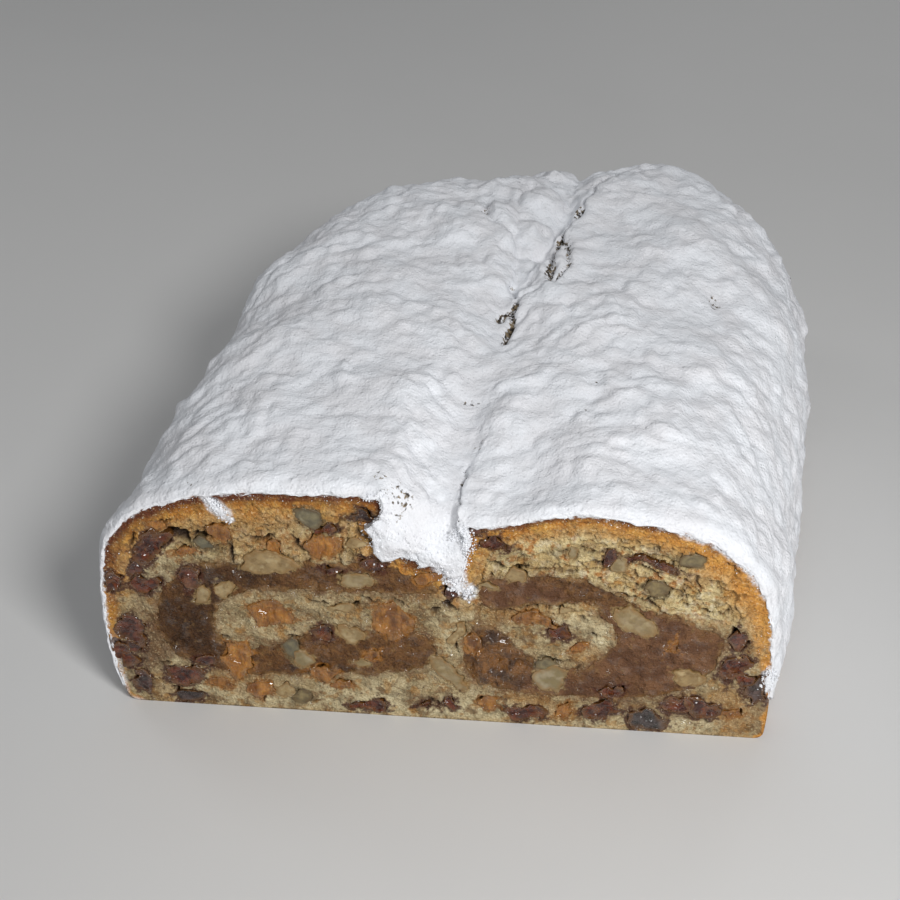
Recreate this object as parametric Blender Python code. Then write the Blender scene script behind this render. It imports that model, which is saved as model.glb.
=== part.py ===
"""Half of a stollen, cut across its middle and standing on its flat base.

The sheet of dough was rolled inwards from both sides around a brown nut paste, so the loaf
has two lobes with a crease between them, and the cut shows two scrolls of paste that face
each other. Raisins, almonds, candied orange peel and citron lie in the dough and the paste,
and a thick coat of icing sugar covers the top, the sides and the far end.

The cut face looks along -Y, the loaf runs along +Y and leans a little towards +X as it
goes, because the knife went across it at a slant. Units are metres, +Z is up, and the
origin is in the middle of the footprint, on the surface that the loaf stands on.
"""
import math
from collections import namedtuple

import bmesh
import bpy
import numpy as np

MM = 0.001
GAP = 0.3 * MM                  # free space between neighbouring pieces
OVERCUT = 2 * MM                # how far a cutter starts in front of the cut face

# The loaf. Left and right are its two lobes, seen from the cut.
LENGTH = 150 * MM               # cut face to the far tip, along the middle
LEAN = 0.171                    # sideways run for each unit of length
LEAN_EASE = -1.5 * MM           # how far the lean has straightened at the tip
HALF_LEFT = 69.8 * MM           # half widths at the cut
HALF_RIGHT = 70.2 * MM
TOP_LEFT = 61.0 * MM            # heights of the crowns
TOP_RIGHT = 59.8 * MM
WAIST_LEFT = 22 * MM            # heights at which the sides stand upright
WAIST_RIGHT = 12 * MM
CROWN = 4.0                     # power of the rounded crowns: higher is squarer
TAPER = 0.075                   # share by which the right lobe draws in towards its top
TUCK_LEFT = 3.0 * MM            # how far the sides draw in below the waist
TUCK_RIGHT = 0.8 * MM
EDGE = 1.8 * MM                 # radius along the bottom edge
SWELL_LEFT = -1.8 * MM          # change of half width, half way along
SWELL_RIGHT = 0.9 * MM
TIP = 55 * MM                   # length of the rounded far end
TIP_PLAN = 1.7                  # power of its curve seen from above
TIP_RISE = 3.2                  # power of its curve seen from the side
TIP_LIFT = 0.45                 # share of the waist by which its underside lifts
LONGER = 21 * MM                # by how much the right lobe reaches further

# The crease between the lobes, station by station:
# along Y, place of its bottom along X, depth, width to the left and to the right, in mm.
CREASE = (
    (0, 2.4, 18.0, 15.0, 1.8),
    (12, 3.0, 15.5, 14.0, 2.6),
    (25, 4.5, 12.0, 13.0, 3.6),
    (42, 5.5, 8.0, 13.0, 7.0),
    (60, 8.5, 5.0, 13.0, 9.0),
    (75, 11.0, 6.2, 12.0, 6.0),
    (100, 20.0, 5.0, 12.0, 6.0),
    (150, 35.0, 5.5, 12.0, 8.0),
)
STEP_WALL = 0.95                # how upright the crease's left wall is at the cut
STEP_FADE = 20 * MM             # length over which that wall turns into a slope
SHOULDER = 5.5 * MM             # how far the right lobe sinks towards the crease at the cut
SHOULDER_SPAN = 26 * MM         # width of that shoulder
SHOULDER_FADE = 45 * MM         # length over which it levels out

# Hand-shaped unevenness of the crowns.
WAVE = 0.6 * MM
WAVE_SPAN = 34 * MM

# The paste: outlines of the two scrolls on the cut, as x and z in mm, from the end of the
# upper run around the outside to the end of the lower run, and back along the inside.
SCROLL_LEFT = (
    (-1, 37), (-10, 42.5), (-24, 42.5), (-40, 41.5), (-51, 39), (-57.5, 32), (-59, 23),
    (-55.5, 15), (-46, 11.2), (-32, 10.6), (-16, 12.2), (-5, 14.5), (-1.2, 20), (-5, 25.2),
    (-14, 24.4), (-22, 25.2), (-31, 20.5), (-41, 17.6), (-46.6, 21), (-47.2, 28),
    (-41, 33.6), (-26, 35.6), (-10, 35.8),
)
SCROLL_RIGHT = (
    (7, 37.5), (12, 42), (22, 43), (32, 40.6), (42, 35.2), (51, 32), (57, 28), (56.4, 20),
    (52, 13.6), (42, 9.8), (28, 9.2), (14, 9.6), (6.6, 13), (4.4, 20), (7, 27.4), (12.4, 26.6),
    (17, 20.6), (24, 17.4), (31, 18.4), (35.4, 24.4), (34.4, 31), (28.6, 36.2), (18, 35.2),
    (10, 33.8),
)
PASTE_DEPTH = 118 * MM          # how deep the scrolls run into the loaf
PASTE_STATIONS = 4

# What lies in the cut, as x, z, half width, half height in mm and tilt in degrees.
RAISINS = (
    (-58.6, 43.6, 5.4, 3.2, 58), (-66.6, 34.6, 1.7, 2.7, 8), (-61.0, 34.6, 2.4, 2.0, 0),
    (-64.2, 21.6, 2.8, 5.0, 8), (-66.0, 13.2, 1.7, 3.3, 22), (-63.8, 5.6, 2.2, 3.4, 15),
    (-54.2, 7.6, 4.6, 2.8, 8), (-24.0, 53.2, 3.2, 1.0, 4), (-15.8, 3.0, 4.4, 1.6, 4),
    (9.8, 50.6, 2.9, 1.7, 4), (42.4, 47.4, 4.6, 1.3, -18), (60.4, 19.6, 2.6, 3.6, -12),
    (65.6, 14.6, 2.0, 3.4, -14), (56.2, 7.8, 2.7, 2.9, 0), (34.0, 5.2, 3.2, 2.6, 0),
    (18.6, 4.6, 4.6, 2.2, 0), (43.8, 3.8, 3.6, 2.2, -20),
)
ALMONDS = (
    (-35.6, 43.4, 6.0, 3.0, 2), (-18.6, 23.6, 3.2, 2.0, -30), (1.6, 14.0, 5.6, 2.0, -52),
    (38.6, 32.2, 5.2, 2.6, -40), (51.6, 16.8, 3.8, 2.2, -8), (23.0, 14.6, 3.0, 4.2, -12),
    (-29.4, 15.2, 2.4, 2.6, 0),
)
ORANGE_PEEL = (
    (-23.8, 47.8, 4.0, 2.4, 4), (-35.4, 28.4, 4.4, 3.0, 4), (-42.8, 14.4, 3.2, 6.2, -6),
    (-10.6, 28.0, 3.6, 4.6, 14), (-38.4, 4.8, 3.0, 2.4, 6), (17.6, 31.6, 3.0, 1.9, 20),
    (-44.2, 49.0, 2.6, 1.8, 6),
)
CITRON = (
    (-27.0, 56.8, 2.6, 1.2, -16), (42.4, 41.4, 2.2, 1.8, 0),
)
PROUD = 0.5 * MM                # how far a cut fruit stands out of the face
FRUIT_DEPTH = 1.5               # depth of a fruit, in its own mean half widths
FRUIT_SIDES = 8

# Skin says how one surface of the loaf differs from the bare dough: growth of the left side,
# right side, top and tip, sugar lying in the crease at the cut, easing of the crease's right
# wall, and height of its lower edge.
Skin = namedtuple("Skin", "left right top tip fill wall foot")
BARE = Skin(0, 0, 0, 0, 0, 0, 0)
SUGAR_FOOT = 3.0 * MM
SUGAR = Skin(1.0 * MM, 2.3 * MM, 2.2 * MM, 2.2 * MM, 7.0 * MM, 2.8 * MM, SUGAR_FOOT)
SUGAR_BED = 1.0 * MM            # extra sugar in the crease beyond the cut
FILL_FADE = 45 * MM             # length over which the sugar in the crease gets thinner

# How finely the surfaces are cut up.
STATIONS_BODY = 8
STATIONS_TIP = 8
TIP_END = 0.985                 # share of the tip's quarter turn at the last station
SIDE_HEIGHTS = np.array([0.0, 0.04, 0.12, 0.5])
CROWN_POINTS = 10
CREASE_LEFT_POINTS = 6
CREASE_RIGHT_POINTS = 5
FLOOR_POINTS = 4

COLOURS = {                     # base colour (linear), roughness
    "dough": ((0.46, 0.31, 0.13), 0.85),
    "paste": ((0.135, 0.065, 0.032), 0.7),
    "sugar": ((0.86, 0.86, 0.87), 0.95),
    "raisin": ((0.060, 0.017, 0.010), 0.35),
    "almond": ((0.50, 0.40, 0.20), 0.5),
    "orange_peel": ((0.47, 0.19, 0.035), 0.35),
    "citron": ((0.25, 0.22, 0.10), 0.4),
}


def smooth(low, high, value):
    """Ease from 0 at low to 1 at high."""
    share = np.clip((value - low) / (high - low), 0.0, 1.0)
    return share * share * (3.0 - 2.0 * share)


def quarter(share, power):
    """Height of a rounded quarter outline that runs from 1 at share 0 to 0 at share 1."""
    return (1.0 - np.minimum(share, 1.0) ** power) ** (1.0 / power)


def axis(y):
    """Sideways place of the loaf's middle line."""
    return LEAN * y + LEAN_EASE * (y / LENGTH) ** 2


def crease_at(y, skin):
    """Bottom place, depth, left and right width of the crease at y, and its wall's share."""
    stations, bottoms, depths, lefts, rights = (np.array(row) * MM for row in zip(*CREASE))
    bottom = np.interp(y, stations, bottoms)
    filled = skin.fill * (1.0 - smooth(0.0, FILL_FADE, y))
    if skin.fill:
        filled += SUGAR_BED
    depth = np.interp(y, stations, depths) - filled
    left = np.interp(y, stations, lefts)
    right = np.interp(y, stations, rights) + skin.wall
    step = STEP_WALL * (1.0 - smooth(0.0, STEP_FADE, y))
    if skin.fill:
        step = 0.0
    return bottom, depth, left, right, step


def side(half, waist, tuck, foot):
    """One side from the foot up to just under the waist, as distances out and heights."""
    z = foot + (waist - foot) * SIDE_HEIGHTS
    rounding = EDGE - np.sqrt(EDGE ** 2 - np.maximum(EDGE - z, 0.0) ** 2)
    return half - tuck * (1.0 - z / waist) ** 2 - rounding, z


def crown_run(half, reach, count):
    """Distances out along a crown, from its waist in to reach, closer where it bends."""
    last = math.acos(min(1.0, max(reach, 0.0) / half) ** (CROWN / 2))
    run = half * np.cos(np.linspace(0.0, last, count)) ** (2 / CROWN)
    run[-1] = reach
    return run


def section(y, skin, detail=1):
    """The outline over the top at y, from the left foot to the right foot."""
    share = y / LENGTH
    swell = math.sin(math.pi * min(1.0, share))
    half_left = HALF_LEFT + SWELL_LEFT * swell + skin.left
    half_right = HALF_RIGHT + SWELL_RIGHT * swell + skin.right
    middle = axis(y)
    bottom, depth, left, right, step = crease_at(y, skin)
    bottom = bottom - middle

    points_left = CROWN_POINTS * detail
    x = np.concatenate([
        -crown_run(half_left, left - bottom, points_left),
        bottom - left * np.linspace(1, 0, CREASE_LEFT_POINTS * detail + 1)[1:],
        bottom + right * np.linspace(0, 1, CREASE_RIGHT_POINTS * detail + 1)[1:-1],
        crown_run(half_right, bottom + right, points_left)[::-1],
    ])

    # Height of the plain crown, then the crease let into it.
    over = smooth(-20 * MM, 20 * MM, x)
    top = TOP_LEFT + (TOP_RIGHT - TOP_LEFT) * over + skin.top
    waist = WAIST_LEFT + (WAIST_RIGHT - WAIST_LEFT) * over
    half = np.where(x < 0, half_left, half_right)
    z = waist + (top - waist) * quarter(np.abs(x) / half, CROWN)
    near = np.where(x < bottom, 1 + (x - bottom) / left, 1 - (x - bottom) / right)
    near = np.clip(near, 0.0, 1.0)
    slope = np.where(x < bottom, near ** 1.4 * (2.0 - near) ** 0.6, near ** 0.9)
    wall = np.where(x < bottom, smooth(0.0, 0.14, near) * (0.72 + 0.28 * near), near ** 0.35)
    drop = depth * (slope * (1 - step) + wall * step)
    shoulder = SHOULDER * (1 - smooth(0.0, SHOULDER_FADE, y))
    sink = shoulder * (1 - smooth(0.0, SHOULDER_SPAN, x - bottom - right)) * (x > bottom)
    z = z - np.maximum(drop, sink)

    out_left, z_left = side(half_left, WAIST_LEFT, TUCK_LEFT, skin.foot)
    out_right, z_right = side(half_right, WAIST_RIGHT, TUCK_RIGHT, skin.foot)
    x = np.concatenate([-out_left, x, out_right[::-1]])
    z = np.concatenate([z_left, z, z_right[::-1]])
    return shape_section(x, y, z, skin)


def shape_section(x, y, z, skin):
    """Lean, taper, wave and close the outline at y, and give its points in space."""
    share = y / LENGTH
    tip = max(0.0, (y - (LENGTH - TIP)) / TIP)
    x = x * (1 - TAPER * smooth(-10 * MM, 30 * MM, x) * z / TOP_RIGHT)
    turn = 2 * math.pi / WAVE_SPAN
    wave = np.sin(turn * (y + 0.35 * x)) * np.sin(turn * 0.8 * x + 1.3)
    z = z + WAVE * wave * smooth(WAIST_LEFT, TOP_LEFT, z) * smooth(0, 25 * MM, y)
    rise = np.where(z > WAIST_LEFT, (z - WAIST_LEFT) * quarter(tip, TIP_RISE), 0.0)
    under = np.maximum(WAIST_LEFT - z, 0.0) * (1 - TIP_LIFT * smooth(0.5, 1.0, tip) ** 2)
    z = WAIST_LEFT + rise - under
    x = x * quarter(tip, TIP_PLAN)
    reach = y * (1 + skin.tip / LENGTH)
    further = LONGER * smooth(-20 * MM, 45 * MM, x) * smooth(0.35, 1.0, share)
    return np.stack([x + axis(y), reach + further, z], axis=1)


def stations():
    """Places along the loaf where a section is taken, closer together in the tip."""
    body = np.linspace(0.0, LENGTH - TIP, STATIONS_BODY + 1)
    turn = np.linspace(0.0, TIP_END * math.pi / 2, STATIONS_TIP + 1)[1:]
    return np.concatenate([body, LENGTH - TIP + TIP * np.sin(turn)])


def skin_grid(skin):
    """Sections of one surface, as an array of stations, points and coordinates."""
    return np.array([section(y, skin) for y in stations()])


def grid_normals(grid):
    """Outward normals of a skin grid, which lie in the cut's plane at the cut."""
    across = np.gradient(grid, axis=1)
    along = np.gradient(grid, axis=0)
    normal = np.cross(across, along)
    normal[0, :, 1] = 0.0
    normal /= np.maximum(np.linalg.norm(normal, axis=2, keepdims=True), 1e-12)
    return normal


def material(kind):
    """The plain material of one kind of piece."""
    found = bpy.data.materials.get(kind)
    if found:
        return found
    made = bpy.data.materials.new(kind)
    made.use_nodes = True
    colour, roughness = COLOURS[kind]
    shader = made.node_tree.nodes["Principled BSDF"]
    shader.inputs["Base Color"].default_value = (*colour, 1.0)
    shader.inputs["Roughness"].default_value = roughness
    made.diffuse_color = (*colour, 1.0)
    return made


def add_object(name, points, faces, kind=None):
    """An object from points and faces; without a kind it is a cutter."""
    mesh = bpy.data.meshes.new(name)
    mesh.from_pydata([tuple(point) for point in points], [], faces)
    bm = bmesh.new()
    bm.from_mesh(mesh)
    bmesh.ops.recalc_face_normals(bm, faces=bm.faces)
    bm.to_mesh(mesh)
    bm.free()
    made = bpy.data.objects.new(name, mesh)
    bpy.context.scene.collection.objects.link(made)
    if kind:
        mesh.materials.append(material(kind))
        mesh.shade_smooth()
        mesh.set_sharp_from_angle(angle=math.radians(40))
    else:
        made.hide_render = True
        made.display_type = "WIRE"
    return made


def cut(host, cutter):
    """Take a cutter's shape out of a host."""
    boolean = host.modifiers.new(cutter.name, "BOOLEAN")
    boolean.operation = "DIFFERENCE"
    boolean.solver = "EXACT"
    boolean.object = cutter


def strip_faces(rows, columns, start=0, closed=False):
    """Faces between neighbouring rows of points; closed joins the last column to the first."""
    faces = []
    for row in range(rows - 1):
        for column in range(columns if closed else columns - 1):
            after = (column + 1) % columns
            here = start + row * columns
            there = here + columns
            faces.append((here + column, here + after, there + after, there + column))
    return faces


def fan(ring, centre):
    """Faces from a closed ring of point numbers to a centre point."""
    return [(a, b, centre) for a, b in zip(ring, ring[1:] + ring[:1])]


def make_dough():
    """The body of the loaf: skin over the top, flat floor below, flat at the cut."""
    top = skin_grid(BARE)
    shares = np.linspace(1, 0, FLOOR_POINTS + 2)[1:-1]
    floor = np.array([[row[0] + (row[-1] - row[0]) * share for share in shares] for row in top])
    grid = np.concatenate([top, floor], axis=1)
    rows, columns = grid.shape[:2]
    points = grid.reshape(-1, 3)
    faces = strip_faces(rows, columns, closed=True)
    last = (rows - 1) * columns
    faces.append(tuple(range(columns)))
    faces += fan(list(range(last, last + columns)), len(points))
    points = np.vstack([points, points[last:].mean(axis=0)])
    return add_object("dough", points, faces, "dough")


def make_sugar_coat():
    """The coat of icing sugar: one shell over the top, the sides and the far end."""
    bare = skin_grid(BARE._replace(foot=SUGAR_FOOT))
    inner = bare + GAP * grid_normals(bare)
    inner[-1, :, 1] += 2 * GAP
    outer = skin_grid(SUGAR)
    rows, columns = outer.shape[:2]
    size = rows * columns
    points = np.vstack([outer.reshape(-1, 3), inner.reshape(-1, 3)])
    faces = strip_faces(rows, columns) + strip_faces(rows, columns, start=size)
    last = size - columns
    for column in range(columns - 1):
        faces.append((column, column + 1, size + column + 1, size + column))
    for edge in (0, columns - 1):
        for row in range(rows - 1):
            here = row * columns + edge
            faces.append((here, here + columns, size + here + columns, size + here))
    faces.append((last, last + columns - 1, size + last + columns - 1, size + last))
    for start in (last, size + last):
        faces += fan(list(range(start, start + columns)), len(points))
        points = np.vstack([points, points[start:start + columns].mean(axis=0)])
    return add_object("sugar_coat", points, faces, "sugar")


def scroll_outline(path, grow):
    """Smooth closed outline, x and z, of a scroll, grown outwards all round."""
    knots = np.array(path) * MM
    count = len(knots)
    line = []
    for index in range(count):
        before, start, end, after = knots[[index - 1, index, (index + 1) % count,
                                           (index + 2) % count]]
        line += [start, (9 * (start + end) - before - after) / 16]
    line = np.array(line)
    run = np.roll(line, -1, axis=0) - np.roll(line, 1, axis=0)
    run /= np.linalg.norm(run, axis=1, keepdims=True)
    clockwise = 1 if np.sum(line[:, 1] * run[:, 0]) > 0 else -1
    return line + clockwise * grow * np.stack([-run[:, 1], run[:, 0]], axis=1)


def make_scroll(name, path, kind=None):
    """One scroll of paste along the loaf, or its tunnel in the dough."""
    grow = 0.0 if kind else GAP
    outline = scroll_outline(path, grow)
    count = len(outline)
    places = np.linspace(0.0, PASTE_DEPTH, PASTE_STATIONS)
    places[0] -= 0.0 if kind else OVERCUT
    places[-1] += grow
    points = []
    for y in places:
        points += [(x + axis(y), y, z) for x, z in outline]
    faces = strip_faces(PASTE_STATIONS, count, closed=True)
    faces.append(tuple(range(count)))
    faces.append(tuple(range(len(points) - count, len(points))))
    return add_object(name, points, faces, kind)


def make_fruit(name, place, kind=None):
    """A fruit that the knife went through, or its pocket, which opens through the face."""
    x0, z0, half_x, half_z, tilt = (value * MM for value in place)
    turn = math.radians(tilt / MM)
    grow = 0.0 if kind else GAP
    depth = FRUIT_DEPTH * (half_x + half_z) / 2
    # Each ring: its share of the full outline and its place along Y.
    if kind:
        rings = ((0.72, -0.75 * PROUD), (1.0, 0.15 * MM), (0.93, 0.45 * depth),
                 (0.58, 0.85 * depth))
        front = -PROUD
    else:
        rings = ((1.0, -OVERCUT), (1.0, 0.15 * MM), (0.93, 0.45 * depth), (0.58, 0.85 * depth))
        front = -OVERCUT
    points = []
    for size, y in rings:
        for corner in range(FRUIT_SIDES):
            angle = 2 * math.pi * corner / FRUIT_SIDES
            knobbly = 1 + 0.07 * math.sin(3 * angle + x0 / MM) + 0.05 * math.sin(2 * angle + z0 / MM)
            across = (half_x * knobbly * size + grow) * math.cos(angle)
            up = (half_z * knobbly * size + grow) * math.sin(angle)
            points.append((x0 + across * math.cos(turn) - up * math.sin(turn),
                           y + (grow if y > depth / 2 else 0.0),
                           z0 + across * math.sin(turn) + up * math.cos(turn)))
    faces = strip_faces(len(rings), FRUIT_SIDES, closed=True)
    last = len(points) - FRUIT_SIDES
    faces += fan(list(range(FRUIT_SIDES)), len(points))
    points.append((x0, front, z0))
    faces += fan(list(range(last, last + FRUIT_SIDES)), len(points))
    points.append((x0, depth + grow, z0))
    return add_object(name, points, faces, kind)


def main():
    for old in list(bpy.data.objects):
        bpy.data.objects.remove(old, do_unlink=True)

    dough = make_dough()
    coat = make_sugar_coat()
    pastes = []
    for name, path in (("filling_left", SCROLL_LEFT), ("filling_right", SCROLL_RIGHT)):
        pastes.append(make_scroll(name, path, "paste"))
        cut(dough, make_scroll(f"cut_{name}", path))

    kinds = (("raisin", RAISINS), ("almond", ALMONDS), ("orange_peel", ORANGE_PEEL),
             ("citron", CITRON))
    for kind, places in kinds:
        for number, place in enumerate(places, start=1):
            name = f"{kind}_{number:02d}"
            make_fruit(name, place, kind)
            pocket = make_fruit(f"cut_{name}", place)
            for host in [dough] + pastes:
                cut(host, pocket)

    # The middle of the footprint becomes the origin.
    low_x, high_x = (pick(corner[0] for corner in coat.bound_box) for pick in (min, max))
    high_y = max(corner[1] for corner in coat.bound_box)
    shift = (-(low_x + high_x) / 2, -(high_y - PROUD) / 2, 0.0)
    for made in bpy.data.objects:
        made.location = shift


main()
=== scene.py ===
"""The looks of half a stollen: crumb, nut paste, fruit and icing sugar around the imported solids.

Shapes are worked out in the cut frame, in millimetres: x to the right and z up in the plane of
the cut, with x 0 in its middle and z 0 on the floor, and y into the loaf. PLACE moves that frame
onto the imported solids, which are in metres.
"""
import itertools
import math
from collections import namedtuple

import bmesh
import bpy
import numpy as np
from bpy.props import FloatProperty, FloatVectorProperty, PointerProperty
from mathutils import Matrix, Vector
from mathutils.geometry import delaunay_2d_cdt


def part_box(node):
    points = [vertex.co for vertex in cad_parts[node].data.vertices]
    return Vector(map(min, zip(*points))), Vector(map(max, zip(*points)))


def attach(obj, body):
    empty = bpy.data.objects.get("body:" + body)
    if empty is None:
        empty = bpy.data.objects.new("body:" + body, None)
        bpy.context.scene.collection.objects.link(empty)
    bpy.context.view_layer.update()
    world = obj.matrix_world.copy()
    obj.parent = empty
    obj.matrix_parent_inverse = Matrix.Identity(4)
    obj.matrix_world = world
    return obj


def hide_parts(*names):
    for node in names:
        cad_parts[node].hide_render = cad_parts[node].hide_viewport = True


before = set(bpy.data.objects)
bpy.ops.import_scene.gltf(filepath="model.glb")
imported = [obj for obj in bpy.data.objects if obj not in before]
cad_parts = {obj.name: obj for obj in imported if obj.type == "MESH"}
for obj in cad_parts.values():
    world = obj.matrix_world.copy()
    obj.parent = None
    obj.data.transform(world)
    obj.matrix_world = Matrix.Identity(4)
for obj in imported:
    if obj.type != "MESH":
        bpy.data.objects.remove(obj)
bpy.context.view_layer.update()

bl_info = {
    "name": "Half Stollen",
    "version": (1, 0, 0),
    "blender": (4, 5, 0),
    "location": "View3D > Sidebar > Stollen",
    "description": "Builds the cut face, filling, fruit and sugar coat of a half stollen",
    "category": "Add Mesh",
}

MM = 0.001

# ---------------------------------------------------------------- the loaf's form, in mm
LENGTH = 150.0                  # along the middle, from the cut to the tip
LEAN = 0.171                    # sideways run of the middle line for each mm along it
LEAN_EASE = -1.5                # how far that line has bent back at the tip
HALF_LEFT = 69.8                # half widths at the waists
HALF_RIGHT = 70.2
TOP_LEFT = 61.0                 # heights of the plain crowns
TOP_RIGHT = 59.8
WAIST_LEFT = 22.0               # heights where the sides are widest
WAIST_RIGHT = 12.0
CROWN = 4.0                     # power of the crown's rounded outline
TAPER = 0.075                   # share by which the right side closes in towards its top
TUCK_LEFT = 3.0                 # how far the sides turn in at the floor
TUCK_RIGHT = 0.8
EDGE = 1.8                      # radius of the edge at the floor
SWELL_LEFT = -1.8               # extra half widths halfway along
SWELL_RIGHT = 0.9
TIP = 55.0                      # length of the rounded far end
TIP_PLAN = 1.7                  # powers of its outline from above and from the side
TIP_RISE = 3.2
TIP_LIFT = 0.45                 # share by which its foot rises towards the waist
LONGER = 21.0                   # how much further the right side reaches at the far end
# The crease: place along the loaf, place of its bottom across it, depth, and width to the left
# and to the right.
CREASE = (
    (0, 2.4, 18, 15, 1.8), (12, 3, 15.5, 14, 2.6), (25, 4.5, 12, 13, 3.6), (42, 5.5, 8, 13, 7),
    (60, 8.5, 5, 13, 9), (75, 11, 6.2, 12, 6), (100, 20, 5, 12, 6), (150, 35, 5.5, 12, 8),
)
# The same for the sugar's surface, which fills most of the crease behind the cut.
SUGAR_CREASE = (
    (0, 0.6, 9.4, 14, 2.9), (12, 1.6, 7, 14, 8), (25, 2.6, 5, 13, 10), (42, 4.2, 3.6, 13, 11),
    (60, 8.4, 2.4, 13, 11), (75, 11, 4.6, 12, 8), (100, 20, 4, 12, 8), (150, 35, 4.5, 12, 10),
)
STEP_WALL = 0.95                # how upright the bare crease's walls are at the cut, 1 a step
STEP_FADE = 20.0                # how far behind the cut they are plain slopes again
SHOULDER = 5.5                  # how far the right crown is sunk beside the crease at the cut
SHOULDER_SPAN = 26.0            # how wide that is, and how far into the loaf it runs
SHOULDER_FADE = 45.0
WAVE = 0.6                      # height and length of the crown's gentle waves
WAVE_SPAN = 34.0

# How one surface differs from the bare dough: growth of the left side, right side, top and
# tip, and its crease, with how upright the crease's walls are at the cut.
Skin = namedtuple("Skin", "left right top tip crease wall")
BARE = Skin(0, 0, 0, 0, CREASE, STEP_WALL)
SUGAR = Skin(0.8, 2.0, 1.9, 2.0, SUGAR_CREASE, 0.0)

# Points along the four stretches of a section, one after the other: left side and crown, left
# wall of the crease, its right wall, right crown and side.
STRETCHES = (142, 30, 24, 142)
DENSE = 90                      # points of a stretch before they are evened out
EASE_ROUNDS = 30                # how far the crease's edges are rounded

SKIN_STEP = 2.4                 # spacing of the sections of the skin under the sugar
FLOOR_POINTS = 60               # points across the flat floor

# ---------------------------------------------------------------- what shows in the cut, in mm
SCROLL_LEFT = (
    (-1, 37), (-10, 42.5), (-24, 42.5), (-40, 41.5), (-51, 39), (-57.5, 32), (-59, 23),
    (-55.5, 15), (-46, 11.2), (-32, 10.6), (-16, 12.2), (-5, 14.5), (-1.2, 20), (-5, 25.2),
    (-14, 24.4), (-22, 25.2), (-31, 20.5), (-41, 17.6), (-46.6, 21), (-47.2, 28), (-41, 33.6),
    (-26, 35.6), (-10, 35.8),
)
SCROLL_RIGHT = (
    (7, 37.5), (12, 42), (22, 43), (32, 40.6), (42, 35.2), (51, 32), (57, 28), (56.4, 20),
    (52, 13.6), (42, 9.8), (28, 9.2), (14, 9.6), (6.6, 13), (4.4, 20), (7, 27.4), (12.4, 26.6),
    (17, 20.6), (24, 17.4), (31, 18.4), (35.4, 24.4), (34.4, 31), (28.6, 36.2), (18, 35.2),
    (10, 33.8),
)
PASTE_DEPTH = 118.0             # how deep the scrolls run into the loaf
TUBE_ROWS = 5                   # rows of points along their sides

# Fruits as x, z, half width, half height, tilt in degrees, and tone: 0 the kind's own bright
# colour, 1 its dull or dark one.
RAISINS = (
    (-58.8, 44.4, 5.2, 2.9, 54, 0.1), (-67, 34.6, 2, 3.2, 8, 0), (-61, 34.2, 2.8, 2.2, 0, 0.1),
    (-64.6, 21, 2.8, 5, 12, 0.2), (-66.6, 13.4, 1.8, 3.6, 24, 0), (-64, 5.4, 2.2, 3.4, 15, 0.6),
    (-54.6, 8.6, 4.2, 2.9, 8, 0.1), (-24, 52, 2.9, 1.1, -6, 0.1), (-14.8, 2.6, 4.6, 1.7, 4, 0),
    (9.6, 50.6, 3, 1.8, -4, 0.3), (42.4, 47.4, 4.4, 1.1, -22, 0.1), (61, 20.2, 2.8, 4, -12, 0),
    (66.4, 14.8, 2.4, 4.2, -10, 0.8), (56, 7.8, 4, 3, -20, 0), (34, 5.6, 3.4, 2.6, 0, 0),
    (18.4, 3.6, 5, 2.2, 0, 0), (43.8, 3.4, 4.6, 2.7, -18, 1),
)
ALMONDS = (
    (-35.4, 42.2, 5.9, 2.9, 2, 0.1), (-18.6, 23.6, 3.2, 2, -30, 0.3),
    (1.6, 14, 5.8, 2.1, -52, 0.6), (39, 32, 5.2, 2.8, -40, 0.5), (52, 16.8, 4, 2.2, -8, 0),
    (23, 14.4, 3.2, 4.4, -12, 1), (-29.2, 15.4, 2.4, 2.6, 0, 0.9),
)
ORANGE_PEEL = (
    (-24.4, 47.4, 4, 3, 4, 0), (-35.2, 28.2, 4.5, 3.4, 4, 0.2), (-42.6, 14.4, 3.2, 5.8, -6, 0),
    (-10.6, 28.2, 3.8, 4.8, 14, 0.6), (-38.2, 5.2, 3, 2.8, 6, 0.2), (17.6, 31.6, 3, 1.9, 20, 0.8),
    (-44.2, 49.4, 2.6, 1.8, 6, 0.3),
)
CITRON = (
    (-26.6, 55, 3, 2.1, -24, 0.8), (42.4, 41.2, 2.4, 2, 0, 0),
)
# Broken bits between them.
RAISIN_BITS = (
    (-54.4, 2.2, 3.2, 1.8, 6, 0.9), (-51.6, 36.8, 2, 3.2, 10, 0.2), (-16, 55.8, 3.4, 1.5, -8, 0.7),
    (50.6, 8.4, 3.4, 2.6, 10, 0), (-3, 3.8, 1.8, 1.6, 0, 0.2), (32.2, 48.8, 1.5, 1.3, 0, 0.2),
    (37, 49.2, 2.6, 0.8, -10, 0.3), (-13.8, 43.4, 2.4, 1.5, -12, 0.2),
    (-62.4, 38.6, 1, 2, -14, 0.3), (2.6, 4, 1.6, 1.8, 0, 0.1), (24, 28, 2, 2, 30, 0),
    (60.8, 28, 1.3, 3, 8, 0.2), (-22.4, 41.2, 3, 0.9, -10, 0.3), (1.6, 36.6, 1.2, 2, -20, 0.5),
    (-24.6, 22.8, 2.2, 2.2, 10, 0.1), (-50.4, 12.4, 2.4, 1.1, 4, 0.1),
    (4.8, 52.6, 1.7, 0.8, 12, 0.2), (36, 11.6, 2.6, 1.4, 10, 0.1), (-64.6, 16.4, 2, 1.6, 0, 0.2),
    (63.4, 16.8, 1.4, 1.6, 0, 0),
)
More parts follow.
